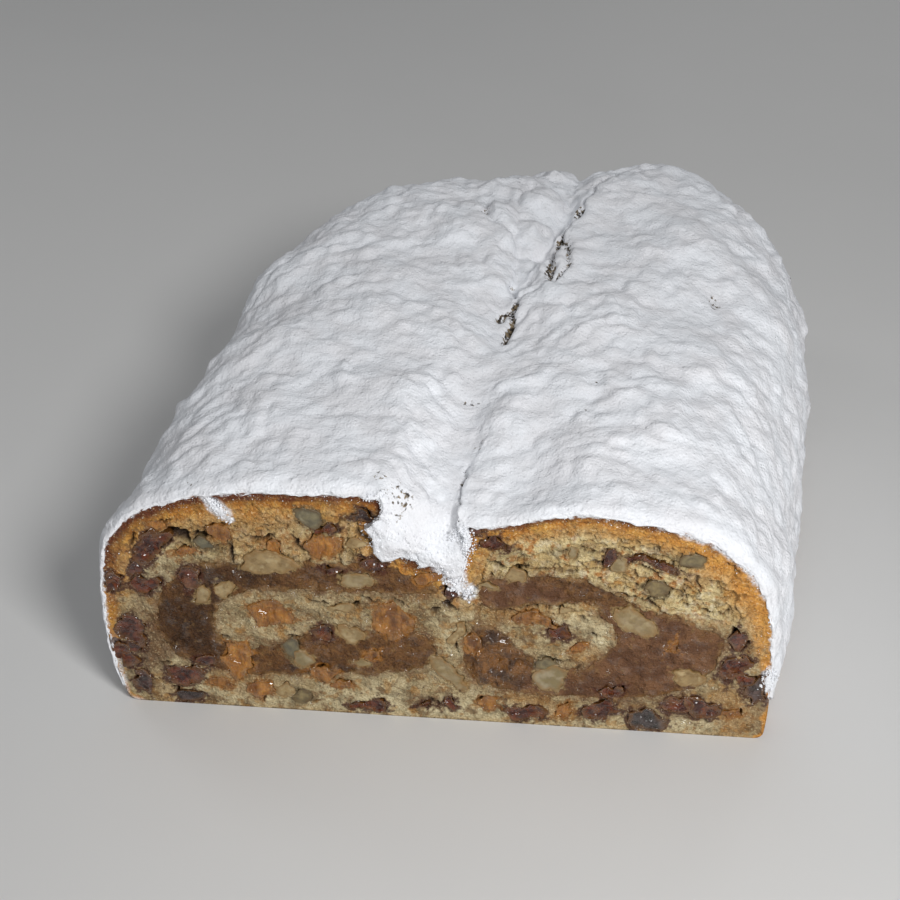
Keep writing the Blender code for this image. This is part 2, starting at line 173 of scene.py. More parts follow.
PEEL_BITS = (
    (47.4, 25.6, 1.2, 2, 10, 0.6), (28.4, 23.4, 1.5, 1.2, 30, 0.3), (-34.2, 46.8, 1.3, 1.9, 0, 0),
    (-47, 6.6, 2.4, 1.8, 0, 0.8), (6.4, 23, 1.3, 2.8, 12, 0.9), (62.4, 6.8, 2.2, 1.8, -10, 0.5),
    (-20.4, 8.4, 2, 1.3, 0, 0.6), (-3.6, 40.4, 2.4, 1.6, 12, 0.1), (27, 4.6, 1.8, 2.6, 0, 0.3),
    (10.6, 5.4, 2.2, 1.9, 12, 0.6), (-51.4, 43.6, 2.6, 0.8, 24, 0.1),
    (-24.6, 11.2, 3.2, 1.7, -6, 0.8), (-13.8, 18, 1.6, 1.1, 10, 0.9),
    (21, 30.6, 2.4, 1.2, -16, 0.9), (-56.8, 50.4, 1.4, 1, 0, 0.2),
)
ALMOND_BITS = (
    (-44.4, 34.2, 1.9, 2.3, -20, 0.2), (-17.6, 48.4, 2.4, 1.3, 10, 0),
    (14.6, 42.4, 2.3, 1.6, -8, 0.2), (34.8, 47.2, 1.7, 2.4, -10, 0.7),
    (-16.2, 15.2, 2, 1.5, 0, 0.6), (-33.4, 5.6, 2, 2, 0, 0.2), (3.2, 25.6, 1.1, 3.4, -18, 0.1),
    (-20.8, 31, 3, 1.4, 8, 0.3), (25.2, 49.4, 1.4, 1.9, 20, 0.8), (24.8, 34, 1.6, 1, 20, 0.2),
    (-49.4, 32.2, 1.6, 2.3, -16, 0.3), (-17.5, 38.6, 3.1, 1.9, 8, 0.6),
    (8.6, 39.4, 1.7, 1.1, -12, 0.5),
)
CITRON_BITS = (
    (-31.4, 18.2, 1.7, 3, 4, 0.9), (-48.2, 46.2, 2.2, 1.3, -20, 1), (48.6, 49, 2.6, 1.6, -20, 0.3),
    (21.8, 18.4, 2.4, 1.4, -10, 0.5), (-29.4, 4, 2.4, 1.9, 0, 0.1),
)

# Torn hollows and cracks in the crumb: x, z, half width, half height, tilt, depth.
HOLLOWS = (
    (-53, 48.2, 2.6, 1.5, -24, 2.4), (-48.2, 48.2, 2.2, 0.9, 6, 2.2),
    (-42.6, 44.4, 0.6, 2.8, 12, 1.6), (-55.6, 51.6, 1.4, 0.4, 20, 1.2),
    (-36.4, 48.6, 2.6, 0.6, 14, 1.6), (-29.2, 47.2, 0.5, 2.4, 22, 1.6),
    (-62.2, 46.6, 0.5, 2, -24, 1.2), (-16, 50.4, 2, 0.5, -34, 1.4), (-21, 42, 2.2, 0.8, 0, 1.4),
    (-25.6, 32.2, 2.4, 0.4, -8, 1.3), (-18.8, 31.4, 2, 0.4, 42, 1.5),
    (-15, 33.7, 1.8, 0.35, -6, 1.3), (-45.8, 20.2, 1.7, 0.4, 8, 1.2),
    (-31, 21.6, 1.7, 0.6, 0, 1.8), (10.6, 45.2, 1.5, 0.7, -6, 2), (14.6, 44.7, 1.7, 0.5, 8, 1.8),
    (31.8, 46.8, 2.4, 0.5, -22, 1.2), (40.6, 46.4, 3, 0.5, -30, 1.5),
    (44.4, 42.6, 1.7, 0.6, -30, 2), (41.2, 37.2, 2.6, 0.6, -20, 1.8),
    (36.6, 39, 2.6, 0.4, -18, 1.4), (45.2, 33.4, 0.5, 2.4, 32, 1.3),
    (12.8, 33, 2.4, 0.45, -10, 1.4), (18.4, 34.7, 3, 0.4, 16, 1.3), (53.4, 36, 1.4, 0.5, -24, 1.5),
    (50.4, 43.8, 0.5, 2, 12, 1.2), (59.6, 29.6, 0.8, 2, 22, 1.6), (56.8, 48, 2.2, 0.35, -34, 1),
    (1.2, 33, 2.2, 1, -26, 2.2), (-1.8, 31.8, 0.9, 0.9, 0, 1.6), (0.6, 36.6, 0.7, 1.9, 12, 1.8),
    (23.6, 19.6, 3, 0.35, -4, 1.2), (26.8, 15.8, 0.45, 3.4, -34, 1.3),
    (66.4, 17.6, 1.5, 1.4, 0, 2.4), (55.6, 4.6, 2.8, 0.3, -28, 1.2), (3, 21.8, 0.4, 2.4, 10, 1.3),
    (-58.4, 12.2, 1.3, 0.4, 12, 1), (-56.6, 3.8, 1.8, 0.6, -40, 1.6),
    (24.6, 34.4, 1.6, 0.8, -28, 1), (28.4, 31.6, 1.2, 0.5, -40, 1), (30.8, 27.4, 0.9, 0.7, 0, 1.2),
    (-8.8, 33.4, 1.9, 0.5, -34, 1.2), (-3, 36.8, 1.4, 0.7, 20, 1.4), (-27.2, 2.8, 1.7, 0.5, 10, 1),
    (-1.4, 5.2, 2.4, 0.5, -24, 1), (-46, 57.6, 1.4, 0.6, -40, 1.2),
)

# Soft patches of colour in the crumb: x, z, half width, half height, tilt, strength.
PATCHES = {
    "wet": (
        (-61, 17, 4.5, 9, 6, 0.75), (-52, 16, 8, 4, 0, 0.55), (-59, 30, 5, 7, 0, 0.35),
        (-14, 43.6, 4.6, 2.8, -8, 0.9), (-9, 36, 7, 2.4, 0, 0.35), (-4, 5, 5, 2.4, 0, 0.5),
        (51, 8, 6, 4, 0, 0.75), (57, 26, 4, 4, 0, 0.4), (40, 7, 5, 3, 0, 0.5),
        (68, 8, 3, 6, 0, 0.3), (-66, 40, 3, 8, 10, 0.3),
    ),
    "amber": (
        (-46, 50, 5, 3, -10, 0.55), (-38, 54.6, 2.6, 1.7, 0, 0.5),
        (-32.4, 54.4, 2.6, 1.9, 0, 0.45), (-43, 8, 6, 5, 0, 0.35), (-4, 39, 4.4, 3, -10, 0.5),
        (-19, 52, 4, 3, -30, 0.3), (30, 22, 4, 3, 0, 0.45), (50, 44.6, 3, 4.6, -30, 0.55),
        (38, 45, 4, 1.8, -30, 0.3), (60, 11, 6, 3.4, 20, 0.45), (20, 7, 5, 3, 0, 0.5),
        (14, 32, 5, 3, 0, 0.45), (4, 35, 3, 4, 0, 0.4), (26, 3.6, 5, 3, 0, 0.5),
        (63, 5, 6, 5, 20, 0.45), (-66, 45, 3.4, 5, -20, 0.4), (-36, 52.4, 8, 2.6, 0, 0.55),
        (-60, 4, 3, 4, 0, 0.35), (-40, 50, 16, 6, 0, 0.4),
    ),
    "olive": (
        (-25, 54, 4.4, 2.8, -10, 0.9), (-45.6, 45.4, 3.6, 2.4, 0, 0.7),
        (-30, 4.2, 2.6, 2.6, 0, 0.9), (-50, 40, 5, 5, 0, 0.35), (12, 47.6, 6, 2, 0, 0.35),
        (25, 50, 6, 1.4, 4, 0.5), (44.6, 50.6, 4.6, 2, -16, 0.6),
        (42.4, 41.2, 3.4, 2.8, 0, 0.6),
    ),
    "pale": (
        (-11, 8.4, 7, 3.2, 6, 0.7), (-33, 31, 12, 3, 6, 0.15), (-45, 26, 3, 6, 0, 0.15),
        (-20, 27.6, 4, 2, 0, 0.1), (3.4, 24, 3, 8, 6, 0.7), (-1, 29.6, 5, 2, 0, 0.5),
        (27, 33, 6, 5, -40, 0.8), (8, 7, 7, 2, 0, 0.4), (-47, 3.6, 6, 3.2, 0, 0.7),
        (-22, 5.6, 6, 3, 0, 0.6), (-52, 44, 6, 3.6, 0, 0.5), (-56, 13.6, 3.4, 2.6, 0, 0.7),
        (-42.4, 45.6, 3, 2.6, -40, 0.8), (-30.6, 47.4, 2.6, 2.6, 0, 0.8),
        (-12.6, 10.2, 6, 2.6, 10, 0.5), (60, 40, 5, 8, -30, 0.4), (-57.6, 36.4, 3, 5, 10, 0.7),
        # These three rows and the first of the next make the whole strip along the floor paler:
        # partly the crumb's own colour, partly painted light for the light the floor throws up.
        (-36, 3, 14, 3.2, 0, 0.9), (6, 2.8, 12, 3, 0, 0.9), (50, 2.6, 14, 3, 0, 0.9),
        (-8, 3.2, 58, 3.4, 0, 1), (31.6, 25.6, 3.4, 6.6, -6, 1), (25, 36.6, 5, 1.8, -10, 0.9),
    ),
    "burnt": (
        (-15.6, 55.6, 3.6, 1.6, -8, 0.8),
    ),
}
# In the paste: where candied peel is steeped in it, where it is denser and darker, and where it
# is paler.
STEEPED = (
    (12, 19, 9, 10, 8), (-26, 12.6, 8, 2.4, 0), (10, 12.6, 6, 3, 0),
)
DENSE_PASTE = (
    (-52.5, 25, 9, 14, 0), (-44, 39, 10, 4, -6),
)
PALE_PASTE = (
    (42, 23, 22, 13, -4), (26, 10, 16, 7, 0), (14, 37, 14, 5, 0),
)

# ---------------------------------------------------------------- the sugar's own features
CROWN_LEFT = 36.0               # from the crease's bottom to the tops of the two lobes
CROWN_RIGHT = 33.0
HEAP = -4.5                     # middle of the sugar that fills the crease at the cut
HEAP_WALL = -11.8               # where it leans on the crease's left wall
LIP_ROWS = 20                   # rows of points that round the coat over at the cut
INNER_EVERY = 12                # sections of the coat for each one of its under side
FOOT_LINES = 16                 # lines over which the coat thins out above its lower edge
SPILL_STEP = 0.32               # spacing of the points of the sugar that fell over the cut
HEAP_GRAINS = 900               # grains on the pile in the crease and along its edge
FRINGE_GRAINS = 2600
FRINGE_TOP = 54.0               # height that those along its edge stay below
FINE_GRAIN = 0.13               # half width from which a grain is a finer ball
# Cracks over the crease: half width, depth, how bare their bottom is, and the way they run.
CRACKS = (
    (0.5, 0.8, 0.38, ((2.5, 4), (2.9, 10.5), (3.4, 16.5))),
    (0.8, 1.9, 0.95, ((9.4, 58.5), (10.5, 64.5), (11.3, 70), (12.3, 75))),
    (1.0, 1.7, 0.85, ((8.2, 68.5), (10, 71))),
    (0.55, 1.4, 0.4, ((12.3, 75), (14.5, 76), (17.8, 78))),
    (0.75, 1.8, 0.9, ((19.2, 80.5), (20.4, 91), (21.6, 96), (22.7, 102))),
    (0.5, 1.5, 0.75, ((20.5, 80.5), (23.4, 89), (24, 98), (22.9, 104))),
    (0.5, 1.2, 0.35, ((22.7, 102), (24.7, 106.5), (27.6, 116), (31.5, 132), (35.5, 139))),
    (1.1, 1.3, 0.05, ((12.3, 75), (11, 81), (11.9, 87), (12.1, 94), (10.6, 99), (9.5, 101.5))),
    (1.0, 1.2, 0.12, ((9.5, 101.5), (5.2, 105.5), (3.2, 110), (3.6, 119.5))),
    (0.9, 1.1, 0.0, ((21.2, 95), (17.5, 95.6), (12.1, 95))),
    (0.9, 0.9, 0.0, ((10.6, 99), (11.4, 108), (11.0, 119), (14.0, 128))),
    (1.8, 0.9, 0.0, ((12.0, 19), (15.8, 23), (23.6, 31), (28.5, 38), (29.6, 44), (33.2, 51))),
    (2.2, 0.8, 0.0, ((-8.0, 24), (-3.6, 15), (-3.2, 7))),
)
# Pits: x, y, half width, half length, depth, how bare.
PITS = (
    (-9.2, 1.6, 3.2, 3, 0.4, 0.42), (6, 21.7, 1.4, 1.8, 0.7, 0.5), (3, 35, 2.4, 1.2, 0.6, 0.5),
    (26.8, 114.5, 1.2, 2.6, 1.4, 0.7), (3.2, 110, 0.9, 1.4, 0.9, 0.6),
    (10.5, 81.5, 0.8, 1, 0.9, 0.5), (17, 104.5, 1.4, 1.4, 0.8, 0.35),
    (57.8, 81.5, 1.6, 3.6, 1.1, 0.5), (29.9, 41.5, 1.4, 1.3, 0.7, 0.4),
    (27.5, 32.2, 0.8, 0.8, 0.5, 0.42), (20.2, 137.2, 2, 1.2, 0.6, 0.1),
    (-50.5, 2.2, 2.6, 0.6, 0.3, 0.35), (-13.2, 3.6, 2.2, 1.4, 0.2, 0.38),
)
# Lumps: x, y, half width, half length, height.
LUMPS = (
    (16.6, 86.5, 3.8, 7.4, 1.5), (16.4, 103.5, 4.8, 8, 2.2), (6.8, 111, 3.6, 7.5, 1.3),
    (18.4, 121, 5.5, 8, 1.7), (30, 5, 9, 5, 0.3), (10.5, 31, 5.5, 6.5, 0.9), (9, 49, 7, 5, 0.6),
)
# Sugar that fell over the cut: half width, thickness, and the way it lies in x and z.
SPILLS = (
    (1.5, 0.5, ((0.2, 43.6), (2.2, 40.8))), (1.3, 0.45, ((2.8, 38.4), (4.8, 37.6))),
    (0.5, 0.26, ((-47.2, 58.8), (-46.0, 57.0))),
    (0.8, 0.26, ((-45.2, 56.2), (-43.6, 54.6))), (0.45, 0.26, ((-43.4, 54.2), (-42.4, 53.0))),
    (0.9, 0.35, ((68.4, 19.6), (68.2, 15.4))),
)


def joined(*columns):
    """Points or other rows from their columns."""
    return np.stack(columns, axis=1)


def smooth(low, high, value):
    """Ease from 0 at low to 1 at high."""
    share = np.clip((value - low) / (high - low), 0.0, 1.0)
    return share * share * (3.0 - 2.0 * share)


def quarter(share, power):
    """Height of a rounded quarter outline that runs from 1 at share 0 to 0 at share 1."""
    return (1.0 - np.minimum(share, 1.0) ** power) ** (1.0 / power)


def axis(y):
    """Sideways place of the loaf's middle line."""
    return LEAN * y + LEAN_EASE * (y / LENGTH) ** 2


def crease_at(y, skin):
    """Bottom place, depth, left and right width of the crease at y, and its wall's share."""
    places, *columns = (np.array(column, float) for column in zip(*skin.crease))
    bottom, depth, left, right = (np.interp(y, places, column) for column in columns)
    return bottom, depth, left, right, skin.wall * (1.0 - smooth(0.0, STEP_FADE, y))


def side(half, waist, tuck, foot):
    """One side from the foot up to just under the waist, as distances out and heights."""
    z = foot + (waist - foot) * np.linspace(0.0, 0.97, 24) ** 1.3
    rounding = EDGE - np.sqrt(EDGE ** 2 - np.maximum(EDGE - z, 0.0) ** 2)
    return half - tuck * (1.0 - z / waist) ** 2 - rounding, z


def crown_run(half, reach):
    """Distances out along a crown, from its waist in to reach."""
    last = math.acos(min(1.0, max(reach, 0.0) / half) ** (CROWN / 2))
    run = half * np.cos(np.linspace(0.0, last, DENSE)) ** (2 / CROWN)
    run[-1] = reach
    return run


def even_out(points, count):
    """The same line with count points at equal steps."""
    run = np.concatenate([[0.0], np.cumsum(np.linalg.norm(np.diff(points, axis=0), axis=1))])
    marks = np.linspace(0.0, run[-1], count)
    return np.stack([np.interp(marks, run, points[:, part]) for part in range(3)], axis=1)


def section(y, skin, feet=(0.0, 0.0)):
    """The outline over the top at y, from the left foot to the right foot, in space."""
    swell = math.sin(math.pi * min(1.0, y / LENGTH))
    half_left = HALF_LEFT + SWELL_LEFT * swell + skin.left
    half_right = HALF_RIGHT + SWELL_RIGHT * swell + skin.right
    bottom, depth, left, right, step = crease_at(y, skin)
    bottom = bottom - axis(y)
    shares = np.linspace(0.0, 1.0, DENSE)
    x = np.concatenate([
        -crown_run(half_left, left - bottom),
        bottom - left * (1.0 - shares),
        bottom + right * shares,
        crown_run(half_right, bottom + right)[::-1],
    ])

    # Height of the plain crown, then the crease let into it.
    on_right = smooth(-20.0, 20.0, x)
    top = TOP_LEFT + (TOP_RIGHT - TOP_LEFT) * on_right + skin.top
    waist = WAIST_LEFT + (WAIST_RIGHT - WAIST_LEFT) * on_right
    half = np.where(x < 0, half_left, half_right)
    z = waist + (top - waist) * quarter(np.abs(x) / half, CROWN)
    near = np.where(x < bottom, 1 + (x - bottom) / left, 1 - (x - bottom) / right)
    near = np.clip(near, 0.0, 1.0)
    slope = np.where(x < bottom, near ** 1.4 * (2.0 - near) ** 0.6, near ** 0.9)
    wall = np.where(x < bottom, smooth(0.0, 0.14, near) * (0.72 + 0.28 * near), near ** 0.35)
    drop = depth * (slope * (1 - step) + wall * step)
    shoulder = SHOULDER * (1 - smooth(0.0, SHOULDER_FADE, y))
    sink = shoulder * (1 - smooth(0.0, SHOULDER_SPAN, x - bottom - right)) * (x > bottom)
    z = z - np.maximum(drop, sink)

    out_left, z_left = side(half_left, WAIST_LEFT, TUCK_LEFT, feet[0])
    out_right, z_right = side(half_right, WAIST_RIGHT, TUCK_RIGHT, feet[1])
    x = np.concatenate([-out_left, x, out_right[::-1]])
    z = np.concatenate([z_left, z, z_right[::-1]])
    points = shape_section(x, y, z, skin)
    ends = np.cumsum([0, len(out_left) + DENSE, DENSE, DENSE, DENSE + len(out_right)])
    parts = []
    for start, stop, count in zip(ends, ends[1:], STRETCHES):
        last = stop == ends[-1]
        run = points[start:stop] if last else points[start:stop + 1]
        parts.append(even_out(run, count if last else count + 1)[:count])
    return np.concatenate(parts)


def shape_section(x, y, z, skin):
    """Lean, taper, wave and close the outline at y, and give its points in space."""
    tip = max(0.0, (y - (LENGTH - TIP)) / TIP)
    x = x * (1 - TAPER * smooth(-10.0, 30.0, x) * z / TOP_RIGHT)
    turn = 2 * math.pi / WAVE_SPAN
    wave = np.sin(turn * (y + 0.35 * x)) * np.sin(turn * 0.8 * x + 1.3)
    z = z + WAVE * wave * smooth(WAIST_LEFT, TOP_LEFT, z) * smooth(0, 25.0, y)
    rise = np.where(z > WAIST_LEFT, (z - WAIST_LEFT) * quarter(tip, TIP_RISE), 0.0)
    under = np.maximum(WAIST_LEFT - z, 0.0) * (1 - TIP_LIFT * smooth(0.5, 1.0, tip) ** 2)
    z = WAIST_LEFT + rise - under
    x = x * quarter(tip, TIP_PLAN)
    reach = y * (1 + skin.tip / LENGTH)
    further = LONGER * smooth(-20.0, 45.0, x) * smooth(0.35, 1.0, y / LENGTH)
    return joined(x + axis(y), reach + further, z)


def stations(step):
    """Places along the loaf for sections that lie a step apart on the crown."""
    turn = np.linspace(0.0, 0.985 * math.pi / 2, 400)
    tip = LENGTH - TIP + TIP * np.sin(turn)
    dense = np.concatenate([np.linspace(0.0, LENGTH - TIP, 200)[:-1], tip])
    share = np.maximum(0.0, (dense - (LENGTH - TIP)) / TIP)
    height = (TOP_LEFT - WAIST_LEFT) * quarter(share, TIP_RISE)
    run = np.concatenate([[0.0], np.cumsum(np.hypot(np.diff(dense), np.diff(height)))])
    count = int(run[-1] / step) + 1
    return np.interp(np.linspace(0.0, run[-1], count), run, dense)


def skin_grid(places, skin, feet=None):
    """Sections at places along the loaf, with the crease's edges rounded behind the cut."""
    feet = feet or [(0.0, 0.0)] * len(places)
    grid = np.array([section(y, skin, foot) for y, foot in zip(places, feet)])
    bottom = crease_at(grid[:, :, 1], skin)[0]
    weight = np.exp(-((grid[:, :, 0] - bottom - 3.0) / 13.0) ** 4) * (grid[:, :, 2] > 30)
    weight *= smooth(1.0, 12.0, grid[:, :, 1]) * (1 - 0.4 * smooth(70, 95, grid[:, :, 1]))
    for _ in range(EASE_ROUNDS):
        middle = (grid[:, :-2] + grid[:, 2:]) / 2
        grid[:, 1:-1] += 0.5 * weight[:, 1:-1, None] * (middle - grid[:, 1:-1])
    return grid


def grid_normals(grid):
    """Outward normals of a grid of sections, which lie in the cut's plane at the cut."""
    normal = np.cross(np.gradient(grid, axis=1), np.gradient(grid, axis=0))
    normal[0, :, 1] = 0.0
    return normal / np.maximum(np.linalg.norm(normal, axis=2, keepdims=True), 1e-12)


def spread(values, reach):
    """Each value of a grid raised to the highest near it, then eased out around it."""
    for pick in (np.max, np.mean):
        for side_on in (0, 1):
            pad = [(reach, reach) if part == side_on else (0, 0) for part in (0, 1)]
            padded = np.pad(values, pad, mode="edge")
            size = values.shape[side_on]
            moved = [padded.take(range(shift, shift + size), axis=side_on)
                     for shift in range(2 * reach + 1)]
            values = pick(moved, axis=0)
    return values


# ---------------------------------------------------------------- unevenness
PRIMES = (374761393, 668265263, 2246822519)


def scatter(cell, seed):
    """A number from 0 to 1 for each whole-numbered cell."""
    key = np.full(cell.shape[0], (seed * 2654435761 + 97) & 0xFFFFFFFF, np.uint32)
    for part in range(cell.shape[1]):
        key = (key ^ (cell[:, part].astype(np.uint32) * np.uint32(PRIMES[part])))
        key = (key ^ (key >> np.uint32(15))) * np.uint32(2146121005)
    key = (key ^ (key >> np.uint32(13))) * np.uint32(1274126177)
    return ((key ^ (key >> np.uint32(16))) >> np.uint32(8)).astype(float) / 2 ** 24


def noise(points, span, seed=0):
    """Smooth noise from -1 to 1 whose bumps are about a span apart."""
    place = np.asarray(points, float) / span + 57.31
    cell = np.floor(place).astype(np.int64)
    part = place - cell
    part = part ** 3 * (part * (part * 6 - 15) + 10)
    total = np.zeros(len(place))
    for corner in itertools.product((0, 1), repeat=place.shape[1]):
        weight = np.prod(np.where(np.array(corner), part, 1 - part), axis=1)
        total += weight * scatter(cell + np.array(corner), seed)
    return total * 2 - 1


def octaves(points, span, count, seed=0, fall=0.5):
    """Noise with finer noise on top of it."""
    total = np.zeros(len(points))
    for octave in range(count):
        total += fall ** octave * noise(points, span / 2.03 ** octave, seed + 11 * octave)
    return total


def flakes(points, span, seed=0):
    """Random height of the flake that each point is in, and how near its edge is, 0 at it."""
    place = np.asarray(points, float) / span + 31.7
    cell = np.floor(place).astype(np.int64)
    near = np.full(len(place), 9.0)
    second = np.full(len(place), 9.0)
    height = np.zeros(len(place))
    for corner in itertools.product((-1, 0, 1), repeat=place.shape[1]):
        here = cell + np.array(corner)
        shift = joined(*(scatter(here, seed + part) for part in range(1, 1 + place.shape[1])))
        centre = here + shift
        gap = np.linalg.norm(place - centre, axis=1)
        closer = gap < near
        second = np.where(closer, near, np.minimum(second, gap))
        height = np.where(closer, scatter(here, seed + 7), height)
        near = np.where(closer, gap, near)
    return height, second - near


def around(x, z, place):
    """Share of the way out from a fruit's middle (1 at its outline), and the angle there."""
    x0, z0, half_x, half_z, tilt = place[:5]
    turn = math.radians(tilt)
    across = (x - x0) * math.cos(turn) + (z - z0) * math.sin(turn)
    up = (z - z0) * math.cos(turn) - (x - x0) * math.sin(turn)
    angle = np.arctan2(up / half_z, across / half_x)
    return np.hypot(across / half_x, up / half_z) / knobbly(angle, x0, z0), angle


def knobbly(angle, x0, z0):
    """How far a fruit's outline strays from its ellipse."""
    wave = 0.07 * np.sin(3 * angle + x0) + 0.05 * np.sin(2 * angle + z0)
    return 1 + wave + 0.045 * np.sin(5 * angle + x0 * z0) + 0.03 * np.sin(8 * angle + x0 - z0)


# How far the outlines of each kind wander, and how far each colours what is around it, in mm.
STRAY = {"raisin": 1.0, "almond": 0.55, "orange_peel": 0.85, "citron": 0.7}
SEEP = {"raisin": 1.25, "almond": 0.6, "orange_peel": 0.9, "citron": 0.7}


def stray(x, z, kind):
    """Sideways and upward wandering of a kind's outlines at points of the cut."""
    spots = joined(x, z)
    return [STRAY[kind] * (noise(spots, 3.0, seed) + 0.6 * noise(spots, 1.3, seed + 5))
            for seed in (27, 28)]


def way_along(x, y, path):
    """Distance from points to a line, and how far along it its nearest point is."""
    best = np.full(len(x), 1e9)
    along = np.zeros(len(x))
    gone = 0.0
    for (x0, y0), (x1, y1) in zip(path, path[1:]):
        run_x, run_y = x1 - x0, y1 - y0
        length = math.hypot(run_x, run_y)
        share = ((x - x0) * run_x + (y - y0) * run_y) / length ** 2
        share = np.clip(share, 0.0, 1.0)
        off = np.hypot(x - x0 - share * run_x, y - y0 - share * run_y)
        along = np.where(off < best, gone + share * length, along)
        best = np.minimum(best, off)
        gone += length
    return best, along


def way_off(x, y, path):
    """Distance from points to a line through the path's points."""
    return way_along(x, y, path)[0]


def inside(x, z, outline):
    """Which points are inside a closed outline."""
    found = np.zeros(len(x), bool)
    for (x0, z0), (x1, z1) in zip(outline, np.roll(outline, -1, axis=0)):
        if z0 != z1:
            found ^= ((z0 > z) != (z1 > z)) & (x < (x1 - x0) * (z - z0) / (z1 - z0) + x0)
    return found


def scroll_outline(path, grow, step=0.45):
    """Closed, slightly ragged outline of a scroll of paste, grown outwards all round."""
    knots = np.array(path, float)
    count = len(knots)
    line = []
    for index in range(count):
        a, b, c, d = knots[[index - 1, index, (index + 1) % count, (index + 2) % count]]
        for t in np.linspace(0, 1, 12, endpoint=False):
            line.append(0.5 * (2 * b + (c - a) * t + (2 * a - 5 * b + 4 * c - d) * t ** 2
                               + (3 * b - a - 3 * c + d) * t ** 3))
    line = np.array(line + line[:1])
    run = np.concatenate([[0.0], np.cumsum(np.linalg.norm(np.diff(line, axis=0), axis=1))])
    marks = np.linspace(0.0, run[-1], int(run[-1] / step), endpoint=False)
    line = np.stack([np.interp(marks, run, line[:, part]) for part in (0, 1)], axis=1)
    run = np.roll(line, -1, axis=0) - np.roll(line, 1, axis=0)
    run /= np.linalg.norm(run, axis=1, keepdims=True)
    clockwise = 1 if np.sum(line[:, 1] * run[:, 0]) > 0 else -1
    out = clockwise * np.stack([-run[:, 1], run[:, 0]], axis=1)
    ragged = 0.55 * noise(line, 3.4, 5) + 0.3 * noise(line, 1.3, 6)
    return line + out * (grow + ragged)[:, None]


# ---------------------------------------------------------------- meshes
def find_place():
    """Where the cut frame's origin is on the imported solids, in mm."""
    low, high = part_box("dough")
    bare = np.vstack([section(y, BARE) for y in stations(2.0)])
    if abs((high.x - low.x) / MM - np.ptp(bare[:, 0])) > 0.6:
        raise RuntimeError("the packed dough isn't as wide as the loaf's form here")
    return np.array([low.x / MM - bare[:, 0].min(), low.y / MM, 0.0])


PLACE = find_place()


def make_piece(name, points, faces, materials, slot, nodes=(), which=None, **fields):
    """A piece from points in mm and faces, with its finish, on the loaf's body."""
    mesh = bpy.data.meshes.new(name)
    mesh.from_pydata(((np.asarray(points) + PLACE) * MM).tolist(), [], faces)
    for made in materials:
        mesh.materials.append(made)
    if which is not None:
        mesh.polygons.foreach_set("material_index", np.asarray(which, np.int32))
    for field, values in fields.items():
        layer = mesh.attributes.new(field, "FLOAT", "POINT")
        layer.data.foreach_set("value", np.asarray(values, np.float32))
    mesh.shade_smooth()
    mesh.validate()
    piece = bpy.data.objects.new(name, mesh)
    bpy.context.scene.collection.objects.link(piece)
    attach(piece, "root")
    if nodes:
        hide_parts(*nodes)
    return piece


def strip(first, second, closed=False):
    """Faces between two rows of point numbers of equal length."""
    ends = list(range(1, len(first))) + ([0] if closed else [])
    return [(first[a], first[b], second[b], second[a])
            for a, b in zip(range(len(ends)), ends)]


def grid_faces(rows, columns, start=0):
    """Faces of a grid of points."""
    faces = []
    for row in range(rows - 1):
        here = [start + row * columns + column for column in range(columns)]
        faces += strip(here, [point + columns for point in here])
    return faces


def face_points(step, outlines, keep, seed):
    """Points over the cut: a jittered triangular lattice that stays off the outlines."""
    rng = np.random.default_rng(seed)
    low, high = outlines[0].min(axis=0), outlines[0].max(axis=0)
    rise = step * math.sqrt(3) / 2
    rows = int((high[1] - low[1]) / rise)
    columns = int((high[0] - low[0]) / step)
    row, column = np.mgrid[0:rows + 1, 0:columns + 1]
    x = low[0] + (column + 0.5 * (row % 2)) * step
    z = low[1] + row * rise
    points = joined(x.ravel(), z.ravel())
    points += rng.uniform(-0.22, 0.22, points.shape) * step
    points = points[keep(points[:, 0], points[:, 1])]
    border = np.vstack(outlines)
    cells = {}
    for index, (bx, bz) in enumerate(border):
        cells.setdefault((int(bx // 1), int(bz // 1)), []).append(index)
    good = np.ones(len(points), bool)
    for index, (px, pz) in enumerate(points):
        near = []
        for cell in itertools.product((-1, 0, 1), repeat=2):
            near += cells.get((int(px // 1) + cell[0], int(pz // 1) + cell[1]), [])
        if near:
            gap = border[near] - (px, pz)
            good[index] = (gap ** 2).sum(axis=1).min() > (0.55 * step) ** 2
    return points[good]


def triangulate(outlines, inner):
    """Triangles over the outlines and the points between them."""
    points = [Vector(point) for point in np.vstack(list(outlines) + [inner])]
    edges = []
    start = 0
    for outline in outlines:
        count = len(outline)
        edges += [(start + a, start + (a + 1) % count) for a in range(count)]
        start += count
    found = delaunay_2d_cdt(points, edges, [], 1, 1e-6)
    coords = np.array([tuple(point) for point in found[0]])
    if len(coords) != len(points):
        raise RuntimeError("outlines of the cut touch each other")
    return coords, np.array([tuple(face) for face in found[2]])


def run_back(outline, depths, rim, total):
    """A closed outline carried back into the loaf: its points, faces, last row and their count.

    The faces start at the rim, which is a row of point numbers, and new points at total.
    """
    points, faces = [], []
    for y in depths:
        points.append(np.stack([outline[:, 0] + axis(y), np.full(len(outline), y),
                                outline[:, 1]], axis=1))
        there = list(range(total, total + len(outline)))
        faces += strip(rim, there, True)
        rim = there
        total += len(outline)
    return points, faces, rim, total


# ---------------------------------------------------------------- relief and tone of the cut
FRUITS = (
    ("raisin", RAISINS, 3.0), ("almond", ALMONDS, 2.2), ("orange_peel", ORANGE_PEEL, 2.2),
    ("citron", CITRON, 1.8),
)
BITS = (
    ("raisin_bits", "raisin", RAISIN_BITS, 1.6), ("peel_bits", "orange_peel", PEEL_BITS, 1.4),
    ("almond_bits", "almond", ALMOND_BITS, 1.4), ("citron_bits", "citron", CITRON_BITS, 1.4),
)


